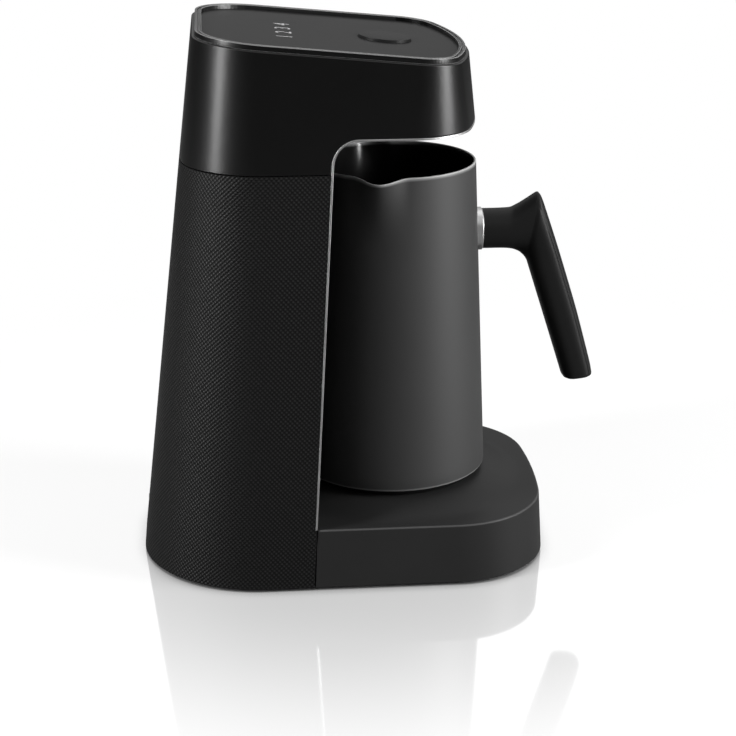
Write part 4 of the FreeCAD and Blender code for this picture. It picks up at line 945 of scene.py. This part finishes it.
def handle_grip():
    """Along a section, the share from edge to edge is half a rounded cosine plus a half.

    The width is the half width times the rounded sine, less a narrow bell at the seam.
    """
    fine, inner = along_edge(INNER_EDGE)
    _, outer = along_edge(OUTER_EDGE)
    turn = np.linspace(0, 2 * np.pi, HANDLE_COLUMNS, endpoint=False)
    in_grip = np.clip((fine - GRIP_FROM) / GRIP_EASE, 0, 1)[:, None]
    up, across = rounded_oval(turn, NECK_SQUARE + (GRIP_SQUARE - NECK_SQUARE) * in_grip)
    share = 0.5 + 0.5 * up
    groove = np.exp(-((share - SEAM_SHARE) / SEAM_WIDE) ** 2) * SEAM_DEEP * in_grip
    x = inner[:, :1] + (outer[:, :1] - inner[:, :1]) * share
    y = (NECK_HALF + (GRIP_HALF - NECK_HALF) * in_grip) * across * (1 - groove)
    z = inner[:, 1:] + (outer[:, 1:] - inner[:, 1:]) * share
    neck_end = close_end(x[0], y[0], z[0], NECK_END)[::-1]
    grip_end = close_end(x[-1], y[-1], z[-1], GRIP_END)
    grid = np.concatenate([neck_end, np.stack([x, y, z], axis=1), grip_end]) * MM
    return grid_piece("handle_grip", POT_X + grid[:, 0], grid[:, 1], grid[:, 2])


# %% [markdown]
# A short bright collar sits between the pot's wall and the neck. The wall is round and
# leans, so a plain tube would gape or cut through it. The collar's first row is therefore
# laid on the middle of the wall itself, and the other rows run straight out from there to
# just inside the neck.

# %% The handle's collar
COLLAR_COLUMNS = 96
COLLAR_SQUARE = 2.4
COLLAR_MIDDLE, COLLAR_HALF_TALL = 150.65, 9.9
COLLAR_PROUD = 0.35
COLLAR_END = 42.6
COLLAR_ROWS = ((0.0, 0.85), (0.0, 1.0), (0.5, 1.0), (0.86, 1.0), (1.0, 0.95), (1.0, 0.85))


def handle_collar():
    """Each row is a share of the way from wall to neck and a size of the oval section.

    The wall's distance at a place is the root of its radius squared less Y squared.
    """
    turn = np.linspace(0, 2 * np.pi, COLLAR_COLUMNS, endpoint=False)
    up, across = rounded_oval(turn, COLLAR_SQUARE)
    rows = []
    for share, size in COLLAR_ROWS:
        y = (NECK_HALF + COLLAR_PROUD) * across * size * MM
        z = (COLLAR_MIDDLE + COLLAR_HALF_TALL * up * size) * MM
        wall = np.sqrt((wall_radius(z) - POT_WALL / 2) ** 2 - y ** 2)
        rows.append((wall + (COLLAR_END * MM - wall) * share, y, z))
    grid = np.array(rows)
    return grid_piece("handle_ring", POT_X + grid[:, 0], grid[:, 1], grid[:, 2], loop_rows=True)


ring = handle_collar()
paint(ring, "bright_trim")
adopt(ring, "handle_collar")

grip = handle_grip()
paint(grip, "handle_black")
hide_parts("handle_body", "handle_cover")
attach(grip, "pot")

# %% [markdown]
# The sloping panel is printed: plain numbers stand behind the button, one for each size of
# serving. A picture of them would need an image file, so they are Blender's own text, a
# fiftieth of a millimetre thick. The text is made a mesh first, because its place is then
# worked out point by point in the panel's leaning frame, and the object itself stays at
# the origin.

# %% The printed numbers
TOP_HEIGHT, TOP_TILT = 242.8 * MM, math.radians(5.3)
PANEL_DROP = 2.0 * MM
PRINT_BACK, PRINT_LIFT = -34 * MM, 0.03 * MM
PRINT_SIZE, PRINT_PITCH, PRINT_THICK = 10.5 * MM, 11 * MM, 0.02 * MM
FIGURES = (1, 2, 3, 4)

ink, ink_tree = new_material("print_ink")
finish_material(ink_tree, mix_colour(ink_tree, noise(ink_tree, 500.0), grey(0.34), grey(0.42)), 0.55)


def on_panel(along, across, up):
    """Turn a place on the panel by its tilt about Y, then lift it to the top's height."""
    level = up - PANEL_DROP
    x = along * np.cos(TOP_TILT) + level * np.sin(TOP_TILT)
    z = TOP_HEIGHT - along * np.sin(TOP_TILT) + level * np.cos(TOP_TILT)
    return np.stack([x, across, z], axis=-1)


def printed_number(figure, across):
    curve = bpy.data.curves.new("figure", "FONT")
    curve.body = str(figure)
    curve.size = PRINT_SIZE
    curve.align_x = "CENTER"
    curve.extrude = PRINT_THICK
    text = bpy.data.objects.new("figure", curve)
    bpy.context.collection.objects.link(text)
    graph = bpy.context.evaluated_depsgraph_get()
    mesh = bpy.data.meshes.new_from_object(text.evaluated_get(graph))
    bpy.data.objects.remove(text)
    right, up, out = points_of(mesh).T
    spots = on_panel(PRINT_BACK - up, across + right, out + PRINT_LIFT)
    mesh.vertices.foreach_set("co", spots.ravel())
    piece = bpy.data.objects.new(f"printed_{figure}", mesh)
    bpy.context.collection.objects.link(piece)
    piece.data.materials.append(ink)
    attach(piece, "machine")


for index, figure in enumerate(FIGURES):
    printed_number(figure, (index - (len(FIGURES) - 1) / 2) * PRINT_PITCH)
print("printed", len(FIGURES), "numbers")

# %% [markdown]
# The stage is a pale floor. To the camera it is a mix of plain white, of a matt ground
# that takes the shadow, and of a faint mirror. The ground and the mirror fade out with
# distance, so the floor turns into the white of the background and no horizon shows. White
# from a lamp would burn the object out, so the white is the floor's own. A thin dark line
# where the feet and the covers come close comes from ambient occlusion. Other rays see a
# dim matt floor, so that it doesn't light the object from below.

# %% Floor
FLOOR_REACH = 3.0
NEAR_FLOOR, FAR_FLOOR = 0.16, 0.45
SHADOW_SHARE = 0.30
GROUND_TONE, DIM_TONE = 0.9, 0.25
CONTACT_REACH, CONTACT_DARK, CONTACT_CLEAR = 0.012, 0.2, 0.85
MIRROR_SHARE, MIRROR_ROUGH = 0.42, 0.06
MIRROR_FULL, MIRROR_END = 0.07, 0.28


def ray_kinds(tree):
    """Whether a ray is seen, mirrored and so on, by the names of Light Path's outputs."""
    return {output.socket.name: output for output in node(tree, "ShaderNodeLightPath")}


def mix_shader(tree, share, first, second):
    return node(tree, "ShaderNodeMixShader", None, {0: share, 1: first, 2: second})[0]


def floor_finish():
    """Near and mirror are 1 less an eased distance from the middle, times their shares."""
    material, tree = new_material("floor")
    place = node(tree, "ShaderNodeTexCoord")[OBJECT_PLACE]
    distance = node(tree, "ShaderNodeVectorMath", {"operation": "LENGTH"}, {0: place})[1]
    shadow = (1 - distance.ease(NEAR_FLOOR, FAR_FLOOR)) * SHADOW_SHARE
    mirror = (1 - distance.ease(MIRROR_FULL, MIRROR_END)) * MIRROR_SHARE
    open_sky = node(tree, "ShaderNodeAmbientOcclusion", {"samples": 8}, {"Distance": CONTACT_REACH})[1]
    clear = open_sky.ease(CONTACT_DARK, CONTACT_CLEAR)
    glow = mix_colour(tree, clear, grey(0.0), grey(1.0))
    white = node(tree, "ShaderNodeEmission", None, {"Color": glow, "Strength": 1.0})[0]
    ground = node(tree, "ShaderNodeBsdfDiffuse", None, {"Color": grey(GROUND_TONE)})[0]
    dim = node(tree, "ShaderNodeBsdfDiffuse", None, {"Color": grey(DIM_TONE)})[0]
    inputs = {"Color": grey(1.0), "Roughness": MIRROR_ROUGH}
    polish = node(tree, "ShaderNodeBsdfGlossy", None, inputs)[0]
    shown = mix_shader(tree, mirror, mix_shader(tree, shadow, white, ground), polish)
    surface = mix_shader(tree, ray_kinds(tree)["Is Camera Ray"], dim, shown)
    node(tree, "ShaderNodeOutputMaterial", None, {"Surface": surface})
    return material


floor_mesh = bpy.data.meshes.new("floor")
floor_mesh.from_pydata([(-FLOOR_REACH, -FLOOR_REACH, 0), (FLOOR_REACH, -FLOOR_REACH, 0),
                        (FLOOR_REACH, FLOOR_REACH, 0), (-FLOOR_REACH, FLOOR_REACH, 0)],
                       [], [(0, 1, 2, 3)])
floor = bpy.data.objects.new("floor", floor_mesh)
bpy.context.collection.objects.link(floor)
floor.data.materials.append(floor_finish())
print("floor reaches", FLOOR_REACH, "m")

# %% [markdown]
# The world is white to the camera and to rays that pass through clear plastic. Mirrored
# rays meet a dark studio below and white above, which draws the bright edge of the top and
# keeps the dark sides dark. All other rays get a little even light, so that the shadows
# aren't black.

# %% World
DIRECTION = 0
AMBIENT, MIRRORED = 0.085, 0.03
WHITE_FROM, WHITE_FULL = 0.12, 0.35

world = bpy.data.worlds.new("studio")
bpy.context.scene.world = world
world.use_nodes = True
tree = world.node_tree
tree.nodes.clear()
rays = ray_kinds(tree)
seen = (rays["Is Camera Ray"] + rays["Is Transmission Ray"]).at_most(1.0)
mirrored = rays["Is Glossy Ray"]
direction = node(tree, "ShaderNodeTexCoord")[DIRECTION]
_, _, rise = node(tree, "ShaderNodeSeparateXYZ", None, {0: direction})
studio = rise.ease(WHITE_FROM, WHITE_FULL) * (1 - MIRRORED) + MIRRORED
strength = seen + (1 - seen) * (mirrored * studio + (1 - mirrored) * AMBIENT)
sky = mix_colour(tree, strength, grey(0.0), grey(1.0))
background = node(tree, "ShaderNodeBackground", None, {"Color": sky, "Strength": 1.0})[0]
node(tree, "ShaderNodeOutputWorld", None, {"Surface": background})
print("ambient light", AMBIENT)

# %% [markdown]
# Three soft lamps do the drawing. On black plastic their reflections matter more than
# their light: a tall narrow one on the left makes the long highlight down the head, a wider
# one on the right shades the pot from light to dark, and a weak one above lifts the top.
# Each is turned to the object's middle, which is worked out here, because a Track To
# constraint would hide the angles.

# %% Lamps
MIDDLE = (0, 0, 0.12)
LAMPS = {
    "left_strip": dict(place=(-1.15, -0.42, 0.5), width=0.22, height=1.1, watts=26),
    "right_box": dict(place=(1.2, -0.46, 0.45), width=0.5, height=1.0, watts=38),
    "overhead": dict(place=(0.1, 0.25, 1.4), width=1.2, height=1.2, watts=6),
}


def soft_lamp(name, place, width, height, watts):
    """Tilt is the angle from straight up to the lamp, and turn is its bearing plus a quarter."""
    data = bpy.data.lights.new(name, "AREA")
    data.shape = "RECTANGLE"
    data.size = width
    data.size_y = height
    data.energy = watts
    lamp = bpy.data.objects.new(name, data)
    lamp.location = place
    away = np.array(place) - np.array(MIDDLE)
    tilt = math.atan2(math.hypot(away[0], away[1]), away[2])
    lamp.rotation_euler = (tilt, 0, math.atan2(away[1], away[0]) + math.pi / 2)
    bpy.context.collection.objects.link(lamp)


for name, data in LAMPS.items():
    soft_lamp(name, **data)
bpy.context.scene.view_settings.view_transform = "Standard"
print("lit by", len(LAMPS), "lamps")
